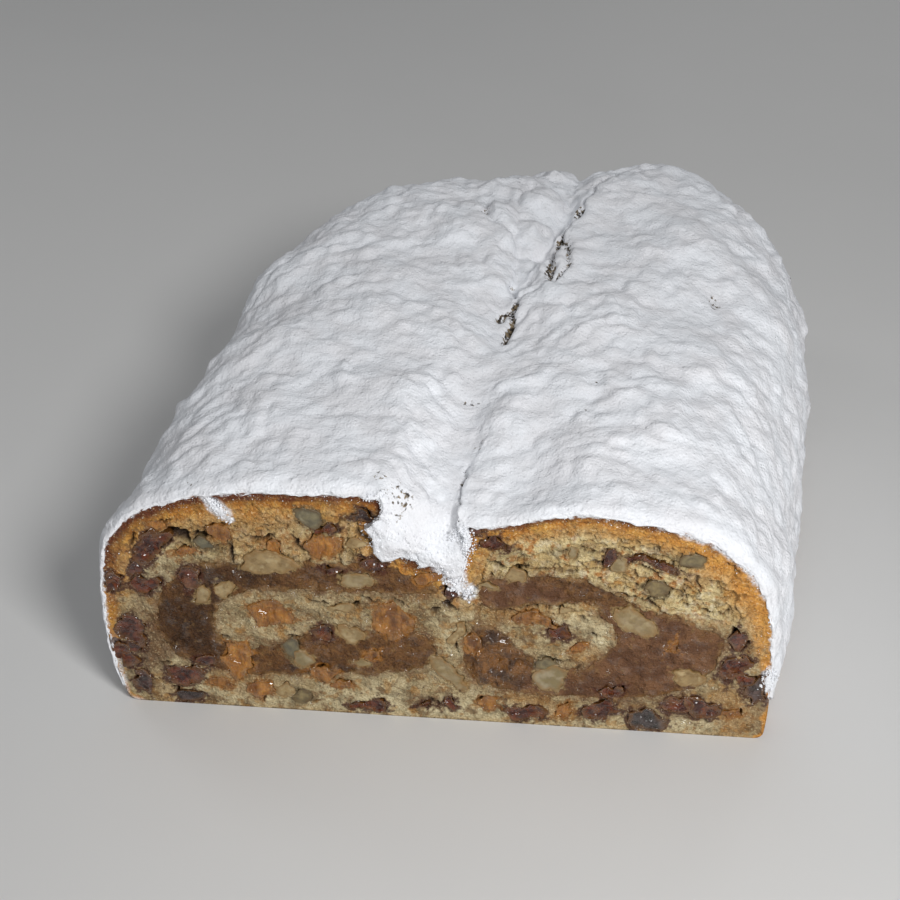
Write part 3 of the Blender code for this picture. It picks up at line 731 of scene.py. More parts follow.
def all_fruits():
    """Place, depth and kind of every fruit and bit."""
    found = [(place, depth, kind) for kind, places, depth in FRUITS for place in places]
    return found + [(place, depth, kind) for _, kind, places, depth in BITS for place in places]


def pockets(x, z):
    """How deep the fruits' beds are, and how strongly each kind colours what is around it."""
    depth = np.zeros(len(x))
    by_kind = {f"by_{kind}": np.zeros(len(x)) for kind in STRAY}
    spots = joined(x, z)
    torn = 0.6 * noise(spots, 1.7, 25) + 0.4 * noise(spots, 0.8, 26)
    shifts = {kind: stray(x, z, kind) for kind in STRAY}
    for place, deep, kind in all_fruits():
        share, _ = around(x - shifts[kind][0], z - shifts[kind][1], place)
        size = math.sqrt(place[2] * place[3])
        torn_share = share * 1.07 + torn * 0.34 / size
        depth = np.maximum(depth, (deep + 0.6) * np.clip(1 - torn_share ** 8, 0, 1))
        off = np.maximum((share - 0.95) * size + 0.3 * torn, 0.0)
        by_kind[f"by_{kind}"] = np.maximum(by_kind[f"by_{kind}"],
                                           np.exp(-(off / SEEP[kind]) ** 1.3))
    return depth, by_kind


def hollows(x, z):
    """Depth of the torn hollows."""
    spots = joined(x, z)
    shift_x = x + 0.5 * noise(spots, 1.7, 21) + 0.25 * noise(spots, 0.8, 22)
    shift_z = z + 0.5 * noise(spots, 1.7, 23) + 0.25 * noise(spots, 0.8, 24)
    depth = np.zeros(len(x))
    for place in HOLLOWS:
        share = around(shift_x, shift_z, place)[0]
        depth = np.maximum(depth, place[5] * np.clip(1.15 - share ** 2, 0, 1) ** 0.7)
    return depth


def patches(x, z, kind):
    """Strength of one kind of soft patch."""
    wander = joined(x, z)
    total = np.zeros(len(x))
    for place in PATCHES[kind]:
        share = around(x, z, place)[0] + 0.22 * octaves(wander, 3.2, 3, 31)
        total = np.maximum(total, place[5] * (1 - smooth(0.55, 1.25, share)))
    return total


def flaky(x, z, off):
    """Where the crumb is torn into flakes: under the top crust, most on the right."""
    lobe = np.where(x > 2, smooth(30, 36, z), 0.7 * smooth(40, 45, z))
    return lobe * smooth(2.0, 6.0, off)


def spilled(x, z):
    """Thickness of the sugar that fell over the cut; below 0 there is none."""
    spots = joined(x, z)
    rough = 0.6 * octaves(spots, 3.2, 2, 131, 0.5) + 0.45 * octaves(spots, 0.95, 3, 135, 0.7)
    thick = np.full(len(x), -9.0)
    for half, most, path in SPILLS:
        off = way_off(x, z, path) / half
        thick = np.maximum(thick, most * (1 - off ** 2 + 0.5 * rough) + 0.16 * rough)
    return thick


def soaking(x, z, scrolls):
    """How wet the crumb is with what the paste gives off."""
    spots = joined(x, z)
    soak = np.zeros(len(x))
    for scroll in scrolls:
        gap = way_off(x, z, np.vstack([scroll, scroll[:1]])[::2])
        gap = gap + 0.5 * octaves(spots, 2.4, 2, 75)
        soak = np.maximum(soak, np.exp(-(np.maximum(gap, 0.0) / 1.0) ** 1.2))
    return soak


def browning(x, z, off, along):
    """How brown the crumb is towards the crust and the floor, and how dark just under the crust.

    The golden band is thickest over the right shoulder, and the dark one thins towards it.
    """
    spots = joined(x, z)
    shoulder = smooth(38, 54, x) * smooth(30, 40, z)
    thick = np.where(x > 2, 6.6 + 2.4 * shoulder - 2.2 * smooth(60, 67, x),
                     9.0 - 4.4 * (1 - smooth(-69, -60, x)))
    thick = thick * (0.22 + 0.78 * smooth(6, 34, z))
    brown = 1 - smooth(0.3, 1.0, (off + 0.9 * octaves(spots, 3.4, 3, 71)) / thick)
    under = 1 - smooth(0.2, 1.1, z + 0.4 * noise(spots, 3.0, 72))
    brown = np.maximum(brown, 0.12 * under)
    deep = np.where(x > 2, 2.2, 4.2)
    streaks = noise(joined(along * 0.3, off * 1.6), 1.1, 74)
    dark = 1 - smooth(0.25, 1.0, (off + 0.7 * octaves(spots, 3.0, 3, 73) + 0.5 * streaks) / deep)
    dark *= np.where(x > 2, 0.9 - 0.65 * smooth(50, 64, x), 1.0) * smooth(20, 45, z)
    return brown, dark


def dusting(x, z, off):
    """How much sugar lies on the cut: along the crust, on the left side and by the spills."""
    spots = joined(x, z)
    dusty = 0.5 + 1.0 * smooth(38, 48, x) * smooth(46, 40, x - 20)
    dust = 1 - smooth(0.1, dusty, off + 0.5 * noise(spots, 0.9, 81) + 0.35 * noise(spots, 2.5, 82))
    dust *= smooth(8, 30, z) * np.where(x > 2, 1.0, 0.8)
    dust = np.maximum(dust, 0.85 * smooth(-1.7, -0.2, spilled(x, z)))
    edge_dust = (1 - smooth(0.2, 1.6, off + noise(spots, 2.2, 83))) * (1 - smooth(8, 22, z))
    return np.maximum(dust, 0.6 * edge_dust * (x < 0))


def cut_fields(x, z, outline, scrolls):
    """Relief of the cut, in mm into the loaf, and what colours it, at points of the crumb."""
    spots = joined(x, z)
    top = outline[: sum(STRETCHES)]
    off, along = way_along(x, z, top[::2])
    flake = flaky(x, z, off)

    # Leaves run along the crust, between crumbs, tears and pores.
    flow = joined(along * 0.3, off)
    flow += 0.8 * joined(noise(spots, 2.6, 3), noise(spots, 2.6, 4))
    flow += 0.3 * joined(noise(spots, 0.9, 5), noise(spots, 0.9, 6))
    leaf, edge = flakes(flow, 1.9, 41)
    crumbs = spots + 0.3 * joined(noise(spots, 0.9, 7), noise(spots, 0.9, 8))
    small = flakes(crumbs, 1.15, 43)[0]
    tears = (1 - smooth(0.0, 0.18, edge)) * smooth(0.45, 0.6, leaf)
    pores = np.clip(noise(spots, 1.25, 51) - 0.42, 0, 1) * 1.6
    pores += np.clip(noise(spots, 0.7, 52) - 0.5, 0, 1) * 1.3
    depth, by_kind = pockets(x, z)
    holes = hollows(x, z)
    relief = 0.24 * octaves(spots, 2.6, 3, 61) + 0.09 * noise(spots, 0.62, 62)
    relief += (0.15 + 0.5 * flake) * (leaf - 0.5) + 0.12 * (small - 0.5)
    relief += (0.12 + 0.5 * flake) * tears + pores * (0.3 + 0.25 * flake)
    crust = 1 - smooth(1.0, 4.5, off)
    relief *= 1 - 0.55 * crust
    relief += holes + 0.15      # the crumb lies a little behind the cut
    relief += depth * smooth(0.0, 0.8, np.minimum(off, z))
    # Painted shade: the hollows, pores and tears are darkened for the shade that falls in them.
    painted_shade = (holes + pores * 0.4 + (0.2 + flake) * tears * 0.8) / 1.5
    brown, dark = browning(x, z, off, along)
    return relief, {
        # Painted shade in the hollows, pores and tears, together with the burnt crust end's own
        # dark colour.
        "painted_shade_and_burnt": np.clip(painted_shade + patches(x, z, "burnt"), 0, 1),
        "soak": np.clip(soaking(x, z, scrolls), 0, 1),
        "leaf": np.where(flake > 0.02, leaf, 0.5),
        "brown": brown, "dark": dark, "dust": dusting(x, z, off),
        # Share across to the right that is painted lighter and more golden: partly real colour,
        # partly painted light.
        "golden": smooth(15.0, 50.0, x), "flake": flake, **by_kind,
        **{kind: patches(x, z, kind) for kind in ("wet", "amber", "olive", "pale")},
    }


# ---------------------------------------------------------------- finishes
def linear(code):
    """Linear colour of an sRGB hex code."""
    parts = [int(code[start:start + 2], 16) / 255 for start in (1, 3, 5)]
    return tuple(part / 12.92 if part <= 0.04045 else ((part + 0.055) / 1.055) ** 2.4
                 for part in parts)


def add(tree, kind, links=None, output=0, **settings):
    """A new node's output, from its settings and its inputs.

    An input is a value, another node's output, a colour as a hex code, or the name of a value
    kept on the mesh's points.
    """
    made = tree.nodes.new(kind)
    for key, value in settings.items():
        setattr(made, key, value)
    for name, value in (links or {}).items():
        socket = made.inputs[name]
        if isinstance(value, str):
            value = linear(value) if value.startswith("#") else add(
                tree, "ShaderNodeAttribute", output="Fac", attribute_name=value)
        if isinstance(value, bpy.types.NodeSocket):
            tree.links.new(value, socket)
        else:
            socket.default_value = (*value[:3], 1.0) if socket.type == "RGBA" else value
    return made.outputs[output] if len(made.outputs) else None


def new_finish(name):
    """An empty material with its tree and a place vector in mm."""
    made = bpy.data.materials.new(name)
    made.use_nodes = True
    tree = made.node_tree
    tree.nodes.clear()
    place = add(tree, "ShaderNodeTexCoord", output="Object")
    place = add(tree, "ShaderNodeVectorMath", {0: place, 1: (1 / MM,) * 3}, operation="MULTIPLY")
    return made, tree, place


def speckle(tree, place, span, detail=2.0, low=0.0, high=1.0):
    """A pattern with features a span (mm) apart, eased from 0 at low to 1 at high."""
    made = add(tree, "ShaderNodeTexNoise",
               {"Vector": place, "Scale": 1.0 / span, "Detail": detail}, "Fac")
    return add(tree, "ShaderNodeMapRange", {0: made, 1: low, 2: high},
               interpolation_type="SMOOTHSTEP")


def warped(tree, place, span, amount):
    """The same place, shifted about so that patterns get ragged edges."""
    shift = add(tree, "ShaderNodeTexNoise", {"Vector": place, "Scale": 1.0 / span}, "Color")
    for operation, value in (("SUBTRACT", 0.5), ("MULTIPLY", amount)):
        shift = add(tree, "ShaderNodeVectorMath", {0: shift, 1: (value,) * 3},
                    operation=operation)
    return add(tree, "ShaderNodeVectorMath", {0: place, 1: shift}, operation="ADD")


def over(tree, base, colour, *shares, blend="MIX"):
    """The base with a colour over it, by the product of the shares."""
    share, *others = shares
    for other in others:
        share = add(tree, "ShaderNodeMath", {0: share, 1: other}, operation="MULTIPLY")
    return add(tree, "ShaderNodeMix", {0: share, 6: base, 7: colour}, 2,
               data_type="RGBA", blend_type=blend)


def flecks(tree, place, base, kinds, *within):
    """The base with flecks over it: span in mm, detail, low, high, strength and colour."""
    for span, detail, low, high, strength, colour in kinds:
        spots = speckle(tree, place, span, detail, low, high)
        base = over(tree, base, colour, spots, *within, strength)
    return base


def ragged_rim(tree, place, base, colour, strength):
    """A fruit with its cut's edge stained by what is around it."""
    return over(tree, base, colour, "rim", speckle(tree, place, 1.5, 3.0, 0.2, 0.6), strength)


def juice(tree, place, base):
    """What the fruits give off around them: each kind's colour over the base."""
    for kind, colour, strength in (("raisin", "#4E2A19", 0.95), ("orange_peel", "#9A6528", 0.8),
                                   ("almond", "#A48B5E", 0.7), ("citron", "#6B5D40", 0.7)):
        near = add(tree, "ShaderNodeMath", {0: f"by_{kind}", 1: 0.6}, operation="ADD")
        near = add(tree, "ShaderNodeMath", {0: near, 1: speckle(tree, place, 1.3, 3.0, 0.2, 0.8)},
                   operation="SUBTRACT")
        near = add(tree, "ShaderNodeMapRange", {0: near, 1: 0.35, 2: 0.95},
                   interpolation_type="SMOOTHSTEP")
        base = over(tree, base, colour, near, strength)
    return base


def bumped(tree, heights):
    """The surface's direction after bumps given as (height, strength, distance in mm)."""
    normal = {}
    for height, strength, distance in heights:
        links = {"Height": height, "Strength": strength, "Distance": distance * MM, **normal}
        normal = {"Normal": add(tree, "ShaderNodeBump", links)}
    return normal["Normal"]


def finish_with(tree, colour, roughness, heights, film=(), **sockets):
    """The shader: colour, roughness, bumps, bumps of the wet film over it, and more."""
    links = {"Base Color": colour, "Roughness": roughness, "Normal": bumped(tree, heights)}
    if film:
        links["Coat Normal"] = bumped(tree, film)
    for socket, value in sockets.items():
        links[socket.replace("_", " ")] = value
    shader = add(tree, "ShaderNodeBsdfPrincipled", links)
    add(tree, "ShaderNodeOutputMaterial", {"Surface": shader})


def yeast_crumb(colours):
    """Baked yeast dough, cut and torn: matt, flaky, pale under the crust, browner where wet."""
    made, tree, place = new_finish("baked yeast crumb, cut")
    blotch = speckle(tree, place, 3.2, 3.0, 0.35, 0.65)
    dense = add(tree, "ShaderNodeMath", {0: 1.0, 1: "flake"}, operation="SUBTRACT")
    base = over(tree, colours.crumb, "#C3B087", blotch)
    base = over(tree, base, "#D6C8A0", "pale")

    # Flakes under the crust: golden, with toasted and floury leaves.
    base = over(tree, base, "#E6D29C", "flake", 0.9)
    base = flecks(tree, place, base, (
        (2.4, 3.0, 0.5, 0.64, 0.85, "#B8742C"), (1.6, 3.0, 0.5, 0.64, 0.6, "#E2D8BA"),
        (4.4, 3.0, 0.5, 0.64, 0.5, "#A98A52")), "flake")
    leaf = add(tree, "ShaderNodeMapRange", {0: "leaf", 1: 0.35, 2: 0.9},
               interpolation_type="SMOOTHSTEP")
    base = over(tree, base, "#B8924F", leaf, "flake", 0.55)

    # Juice and fat that soaked into the dense crumb, bits of fruit and paler folds.
    base = flecks(tree, place, base, (
        (2.1, 3.0, 0.57, 0.67, 0.6, "#D6C8A2"), (3.7, 3.0, 0.54, 0.64, 0.75, "#80603A"),
        (2.7, 3.0, 0.57, 0.67, 0.6, "#AA7C3C"), (1.15, 3.0, 0.63, 0.73, 0.75, "#4A3019"),
        (5.3, 3.0, 0.56, 0.66, 0.5, "#6E5C3E"), (3.1, 3.0, 0.55, 0.65, 0.55, "#B4823C")), dense)
    for region, colour in (("olive", "#7C6D4A"), ("amber", "#AE7A35"), ("wet", "#705033")):
        base = over(tree, base, colour, region)
    uneven = add(tree, "ShaderNodeMapRange", {0: blotch, 3: 1.0, 4: 0.5})
    base = over(tree, base, "#76522F", "soak", uneven)

    # Browner towards the crust. On the right it is lighter and more golden: partly the crust's own
    # colour, partly painted light for the right side being lit more.
    baked = over(tree, colours.crust_inner, "#DCA64E", speckle(tree, place, 1.6, 3.0, 0.35, 0.7))
    baked = over(tree, baked, "#E9A852", "golden", 0.5)
    base = over(tree, base, baked, "brown")
    base = flecks(tree, place, base, ((1.0, 3.0, 0.6, 0.7, 0.4, "#6A4524"),))
    base = over(tree, base, colours.crust, "dark")
    base = juice(tree, place, base)

    # Grain, painted highlights on crisp points, painted shade in the hollows along with the burnt
    # crust end, and sugar.
    grain = speckle(tree, place, 0.6, 3.0, 0.3, 0.7)
    base = over(tree, base, "#AC8C60", grain, 0.4, blend="MULTIPLY")
    # Painted highlights: pale cream flecks where crisp points would catch the light.
    base = flecks(tree, place, base, ((0.45, 2.0, 0.58, 0.7, 0.35, "#F1DDB0"),))
    # Painted shade: dark brown over the hollows, pores and tears; the burnt crust end's colour is
    # real.
    base = over(tree, base, "#3E2B1B", "painted_shade_and_burnt")
    base = over(tree, base, colours.sugar, "dust", speckle(tree, place, 0.5, 3.0, 0.25, 0.5))
    moist = add(tree, "ShaderNodeMath", {0: "soak", 1: "by_raisin"}, operation="MAXIMUM")
    rough = add(tree, "ShaderNodeMapRange", {0: moist, 3: 0.7, 4: 0.3})
    film = add(tree, "ShaderNodeMath", {0: dense, 1: 0.5}, operation="MULTIPLY")
    film = add(tree, "ShaderNodeMath", {0: speckle(tree, place, 2.9, 3.0, 0.5, 0.62), 1: film},
               operation="MULTIPLY")
    finish_with(tree, base, rough,
                [(speckle(tree, place, 0.5, 4.0), 1.0, 0.45), (blotch, 0.4, 0.6)],
                [(speckle(tree, place, 1.8, 0.0), 1.0, 1.5)],
                Specular_IOR_Level=0.4, Coat_Weight=film, Coat_Roughness=0.12)
    return made


def baked_crust(colours):
    """Baked crust brushed with butter: brown, finely blistered, with sugar caught in it."""
    made, tree, place = new_finish("buttered baked crust")
    blotch = speckle(tree, place, 6.0, 4.0, 0.3, 0.7)
    base = over(tree, colours.crust, colours.crust_inner, blotch)
    base = over(tree, base, "#5E3A20", speckle(tree, place, 1.2, 3.0, 0.45, 0.8))
    base = over(tree, base, colours.sugar, "dust", speckle(tree, place, 0.7, 3.0, 0.35, 0.6))
    finish_with(tree, base, 0.7, [(speckle(tree, place, 0.9, 4.0), 0.6, 0.35)])
    return made


def nut_paste(colours):
    """Ground nuts bound with syrup: dark taupe brown, grainy, moist enough to glint."""
    made, tree, place = new_finish("moist ground nut paste")
    grain = speckle(tree, place, 0.6, 3.0, 0.3, 0.7)
    blotch = speckle(tree, place, 4.0, 3.0, 0.38, 0.64)
    base = over(tree, colours.paste, "#684424", blotch)
    base = flecks(tree, place, base, (
        (1.8, 3.0, 0.5, 0.72, 0.55, "#8A6538"), (0.6, 3.0, 0.3, 0.7, 0.45, "#855F36"),
        (0.9, 2.0, 0.58, 0.72, 0.6, "#33200F")))
    base = over(tree, base, "#9C928A", "dense", 0.75, blend="MULTIPLY")
    base = over(tree, base, over(tree, "#5F3F29", "#785438", blotch), "pale")
    syrupy = speckle(tree, warped(tree, place, 5.0, 3.0), 3.4, 3.0, 0.36, 0.66)
    base = over(tree, base, over(tree, "#42270F", "#7E5222", syrupy), "amber")
    base = over(tree, base, "#8E6C40", "rim", speckle(tree, place, 2.2, 3.0, 0.3, 0.62), 0.75)
    base = juice(tree, place, base)
    rough = add(tree, "ShaderNodeMapRange", {0: grain, 3: 0.25, 4: 0.55})
    film = add(tree, "ShaderNodeMath",
               {0: speckle(tree, place, 2.2, 3.0, 0.5, 0.62), 1: "amber"}, operation="MAXIMUM")
    film = add(tree, "ShaderNodeMath", {0: film, 1: 0.8}, operation="MULTIPLY")
    finish_with(tree, base, rough,
                [(speckle(tree, place, 0.45, 3.0), 1.0, 0.35), (blotch, 0.4, 0.6)],
                [(speckle(tree, place, 1.5, 0.0), 1.0, 1.3)],
                Specular_IOR_Level=0.25, Coat_Weight=film, Coat_Roughness=0.06)
    return made


def raisin_skin(colours):
    """Soaked sultana: thin wrinkled skin over sticky flesh, dark red brown and glossy."""
    made, tree, place = new_finish("soaked sultana")
    blotch = speckle(tree, place, 1.6, 3.0, 0.38, 0.64)
    flesh = over(tree, colours.raisin, "#692E10", blotch)
    flesh = flecks(tree, place, flesh, ((2.6, 2.0, 0.5, 0.7, 0.65, "#80502A"),))
    base = over(tree, flesh, over(tree, "#2B2623", "#4C4442", blotch), "tone")

    # Wrinkles run between cells of skin about 1.5 mm across; the furrows between them are darkened,
    # painted shade in the creases.
    cells = {"Vector": warped(tree, place, 0.9, 1.35), "Scale": 1.0 / 1.5}
    wrinkle = add(tree, "ShaderNodeTexVoronoi", cells, "Distance", feature="DISTANCE_TO_EDGE")
    furrow_shade, swell = (add(tree, "ShaderNodeMapRange", {0: wrinkle, 1: low, 2: high},
                         interpolation_type="SMOOTHSTEP")
                     for low, high in ((0.09, 0.0), (0.0, 0.25)))
    # Painted shade: near black in the wrinkles' furrows.
    base = over(tree, base, "#25100A", furrow_shade, 0.5)
    base = over(tree, base, "#65431F", "rim", 0.75)
    finish_with(tree, base, 0.26,
                [(swell, 0.3, 0.25), (speckle(tree, place, 0.7, 3.0), 0.5, 0.25)],
                [(speckle(tree, place, 1.9, 0.0), 1.0, 1.8)],
                Specular_IOR_Level=0.2, Coat_Weight=0.9, Coat_Roughness=0.05)
    return made


def almond_flesh(colours):
    """Blanched almond, cut: dense, pale cream, satin, browner at the edge."""
    made, tree, place = new_finish("cut blanched almond")
    base = over(tree, colours.almond, "#A98F63", speckle(tree, place, 2.4, 2.0, 0.35, 0.7))
    base = flecks(tree, place, base, (
        (1.1, 3.0, 0.5, 0.65, 0.6, "#765A30"), (1.9, 2.0, 0.55, 0.65, 0.5, "#C3AE84")))
    dull = over(tree, "#827350", "#9D8F73", speckle(tree, place, 2.0, 2.0, 0.35, 0.7))
    base = over(tree, base, dull, "tone")
    base = ragged_rim(tree, place, base, "#8A6A3E", 0.9)
    finish_with(tree, base, 0.42, [(speckle(tree, place, 0.8, 3.0), 0.35, 0.15)],
                Specular_IOR_Level=0.45,
                Subsurface_Weight=0.1, Subsurface_Radius=(1.2 * MM, 0.8 * MM, 0.4 * MM))
    return made


def candied_peel(colours):
    """Candied orange peel: translucent amber, fibrous and syrupy."""
    made, tree, place = new_finish("candied orange peel")
    drawn_out = add(tree, "ShaderNodeVectorMath", {0: place, 1: (1.7, 1.0, 0.7)},
                    operation="MULTIPLY")
    fibre = speckle(tree, warped(tree, drawn_out, 3.0, 2.2), 2.8, 3.0, 0.34, 0.66)
    base = over(tree, colours.peel, "#BA8038", fibre)
    base = flecks(tree, place, base, ((3.6, 2.0, 0.47, 0.66, 0.7, "#6F4115"),))
    base = over(tree, base, over(tree, "#5E3A18", "#986630", fibre), "tone")
    base = flecks(tree, place, base, ((1.2, 3.0, 0.55, 0.8, 0.45, "#6A3D18"),))
    base = ragged_rim(tree, place, base, "#8B6234", 0.8)
    finish_with(tree, base, 0.26, [(fibre, 0.4, 0.8), (speckle(tree, place, 0.6, 3.0), 0.6, 0.25)],
                [(speckle(tree, place, 2.1, 0.0), 1.0, 1.9)],
                Specular_IOR_Level=0.2, Coat_Weight=0.8, Coat_Roughness=0.05,
                Subsurface_Weight=0.3, Subsurface_Radius=(2.0 * MM, 0.9 * MM, 0.3 * MM))
    return made


def candied_citron(colours):
    """Candied citron: translucent grey green, waxy."""
    made, tree, place = new_finish("candied citron")
    blotch = speckle(tree, place, 1.8, 3.0, 0.35, 0.7)
    base = over(tree, colours.citron, "#8C7A52", blotch)
    base = over(tree, base, over(tree, "#5F5A49", "#7C7459", blotch), "tone")
    base = ragged_rim(tree, place, base, "#5C4526", 0.8)
    finish_with(tree, base, 0.35, [(speckle(tree, place, 0.9, 3.0), 0.4, 0.2)],
                Specular_IOR_Level=0.5)
    return made


def icing_sugar(colours):
    """Sifted icing sugar, several coats deep on butter: white, dead matt, in fine clots."""
    made, tree, place = new_finish("sifted icing sugar")
    fine = speckle(tree, place, 0.55, 3.0, 0.25, 0.75)
    base = over(tree, colours.sugar, "#EDEDF0", speckle(tree, place, 9.0, 3.0, 0.35, 0.65))
    base = over(tree, base, "#B9BABD", fine, 0.07)

    # Buttered crust shows in specks where the coat is cracked, and through it where it is thin.
    bare = add(tree, "ShaderNodeMath",
               {0: "bare", 1: speckle(tree, place, 0.8, 4.0, 0.28, 0.72)}, operation="SUBTRACT")
    bare = add(tree, "ShaderNodeMapRange", {0: bare, 1: 0.0, 2: 0.4},
               interpolation_type="SMOOTHSTEP")
    crust = over(tree, "#3A332D", "#8A7A62", speckle(tree, place, 1.1, 2.0, 0.42, 0.6))
    base = over(tree, base, crust, bare)
    base = over(tree, base, "#E2DBD2", "thin", blend="MULTIPLY")

    # The sugar's own grains are too fine to show, so they are drawn as clots of 0.75 mm.
    grains = add(tree, "ShaderNodeTexVoronoi", {"Vector": place, "Scale": 1.0 / 0.75}, "Distance")
    grains = add(tree, "ShaderNodeMapRange", {0: grains, 1: 0.6, 2: 0.0},
                 interpolation_type="SMOOTHSTEP")
    finish_with(tree, base, 0.95,
                [(speckle(tree, place, 4.0, 3.0), 0.5, 1.2),
                 (speckle(tree, place, 1.5, 3.0), 0.42, 0.5), (grains, 0.3, 0.3), (fine, 0.3, 0.2)],
                Specular_IOR_Level=0.2)
    return made


def painted_board(colours):
    """Board painted matt: a plain pale grey with a barely visible roller texture."""
    made, tree, place = new_finish("matt painted board")
    base = over(tree, colours.floor, "#C9C8C6", speckle(tree, place, 40.0, 2.0, 0.2, 0.8), 0.08)
    finish_with(tree, base, 0.9, [(speckle(tree, place, 3.0), 0.05, 0.2)])
    return made


# ---------------------------------------------------------------- settings
def colour_setting(name, description, code):
    """A colour that a user can change, from its hex code."""
    return FloatVectorProperty(name=name, description=description, subtype="COLOR", size=3,
                               min=0.0, max=1.0, default=linear(code))


def length_setting(name, description, size):
    """A length that a user can change, from its size in mm."""
    return FloatProperty(name=name, description=description, unit="LENGTH", subtype="DISTANCE",
                         default=size * MM, min=0.0, precision=5)


class StollenSizes(bpy.types.PropertyGroup):
    """Sizes that change how coarse or deep the stollen's surfaces are."""
    crumb_step: length_setting("Crumb Step", "Spacing of the points on the cut face", 0.35)
    sugar_step: length_setting("Sugar Step", "Spacing of the sections of the sugar coat", 0.72)
    ripple: length_setting("Ripple Height", "Height of the ripples in the sugar", 0.8)
    ripple_span: length_setting("Ripple Span", "Distance between ripples in the sugar", 6.5)
    fruit_proud: length_setting("Fruit Proud", "How far cut fruit stands out of the crumb", 0.0)
    floor: length_setting("Floor Size", "Length of the floor's sides", 3000.0)


class StollenColours(bpy.types.PropertyGroup):
    """Main colours of the stollen."""
    crumb: colour_setting("Crumb", "Baked dough inside", "#A6926A")
    crust: colour_setting("Crust", "Outer crust", "#6A3411")
    crust_inner: colour_setting("Inner Crust", "Dough just under the crust", "#C5822E")
    paste: colour_setting("Nut Paste", "Filling", "#4B2E18")
    raisin: colour_setting("Raisin", "Flesh of the raisins", "#381206")
    almond: colour_setting("Almond", "Cut almonds", "#8E764F")
    peel: colour_setting("Orange Peel", "Candied peel", "#8E571A")
    citron: colour_setting("Citron", "Candied citron", "#66573B")
    sugar: colour_setting("Icing Sugar", "Sugar coat", "#F1F3F7")
    floor: colour_setting("Floor", "Floor under the loaf", "#D9D8D6")


# ---------------------------------------------------------------- operators
class StollenPiece:
    """What the operators share: the stollen's sizes in mm and its colours."""
    bl_options = {"REGISTER", "UNDO"}

    def size(self, name):
        """A size in mm."""
        return getattr(bpy.context.scene.stollen_sizes, name) / MM

    @property
    def colours(self):
        """The stollen's colours."""
        return bpy.context.scene.stollen_colours


def dust_on_crust(points):
    """How much sugar clings to the bare crust below the coat."""
    return smooth(0.5, 7.0, points[:, 2] + 3.5 * octaves(points, 5.0, 3, 91))


def padded(fields, count):
    """Each field with zeros for the points after those that it is worked out for."""
    return {name: np.concatenate([value, np.zeros(count - len(value))])
            for name, value in fields.items()}


def turn_out(piece):
    """Face normals outward."""
    bm = bmesh.new()
    bm.from_mesh(piece.data)
    bmesh.ops.recalc_face_normals(bm, faces=bm.faces)
    bm.to_mesh(piece.data)
    bm.free()


def crumb_mesh(face, triangles, covered, grid, scrolls):
    """Points and faces of the dough, how many faces are the cut's, and where its skin ends.

    The cut's first points are the ring of the grid's first row, then those of the scrolls. Its
    faces come first, then the skin's, then those of the tunnels for the paste.
    """
    rows, columns = grid.shape[:2]
    start = len(face)
    points = [face, grid[1:].reshape(-1, 3), grid[-1].mean(axis=0)[None]]
    faces = [tuple(corners) for corners in triangles[~covered]]
    cut_faces = len(faces)
    here = list(range(columns))
    for row in range(rows - 1):
        there = [start + row * columns + n for n in range(columns)]
        faces += [wall[::-1] for wall in strip(here, there, True)]
        here = there
    tip = start + (rows - 1) * columns
    faces += [(b, a, tip) for a, b in zip(here, here[1:] + here[:1])]
    skin_end = (tip + 1, len(faces))

    # Tunnels for the paste, from the face back into the loaf.
    total = tip + 1
    begin = columns
    for scroll in scrolls:
        end = begin + len(scroll)
        depths = np.linspace(0.0, PASTE_DEPTH, TUBE_ROWS)[1:]
        rows_back, walls, last, total = run_back(scroll, depths, list(range(begin, end)), total)
        points += rows_back
        faces += walls
        whole = ((triangles >= begin) & (triangles < end)).all(axis=1) & covered
        faces += [tuple(last[n - begin] for n in corners) for corners in triangles[whole]]
        begin = end
    return np.vstack(points), faces, cut_faces, skin_end


class STOLLEN_OT_crumb(StollenPiece, bpy.types.Operator):
    """Build the dough: cut face with its tunnels, browned skin and flat floor"""
    bl_idname = "stollen.crumb"
    bl_label = "Crumb and Crust"

    def execute(self, context):
        skin = skin_grid(stations(SKIN_STEP), BARE)
        shares = np.linspace(1, 0, FLOOR_POINTS + 2)[1:-1]
        floor = np.array([[row[0] + (row[-1] - row[0]) * share for share in shares]
                          for row in skin])
        grid = np.concatenate([skin, floor], axis=1)
        ring = grid[0][:, [0, 2]]
        scrolls = [scroll_outline(SCROLL_LEFT, 0.0), scroll_outline(SCROLL_RIGHT, 0.0)]

        def keep(x, z):
            """Points of the crumb, which are in the ring and in neither scroll."""
            return (inside(x, z, ring) & ~inside(x, z, scrolls[0])
                    & ~inside(x, z, scrolls[1]))
        inner = face_points(self.size("crumb_step"), [ring] + scrolls, keep, 7)
        coords, triangles = triangulate([ring] + scrolls, inner)
        x, z = coords.T
        relief, fields = cut_fields(x, z, ring, scrolls)
        relief[:len(ring)] = 0.0
        face = joined(x + axis(relief), relief, z)
        middle = coords[triangles].mean(axis=1)
        covered = inside(*middle.T, scrolls[0]) | inside(*middle.T, scrolls[1])
        points, faces, cut_faces, (skin_points, skin_faces) = crumb_mesh(
            face, triangles, covered, grid, scrolls)
        which = np.zeros(len(faces), int)
        which[cut_faces:skin_faces] = 1
        fields = padded(fields, len(points))
        fields["dust"][len(face):] = dust_on_crust(points)[len(face):]
        fields["soak"][skin_points:] = 1.0
        piece = make_piece("crumb", points, faces,
                           [yeast_crumb(self.colours), baked_crust(self.colours)],
                           "dough", ["dough"], which, **fields)
        turn_out(piece)
        return {"FINISHED"}


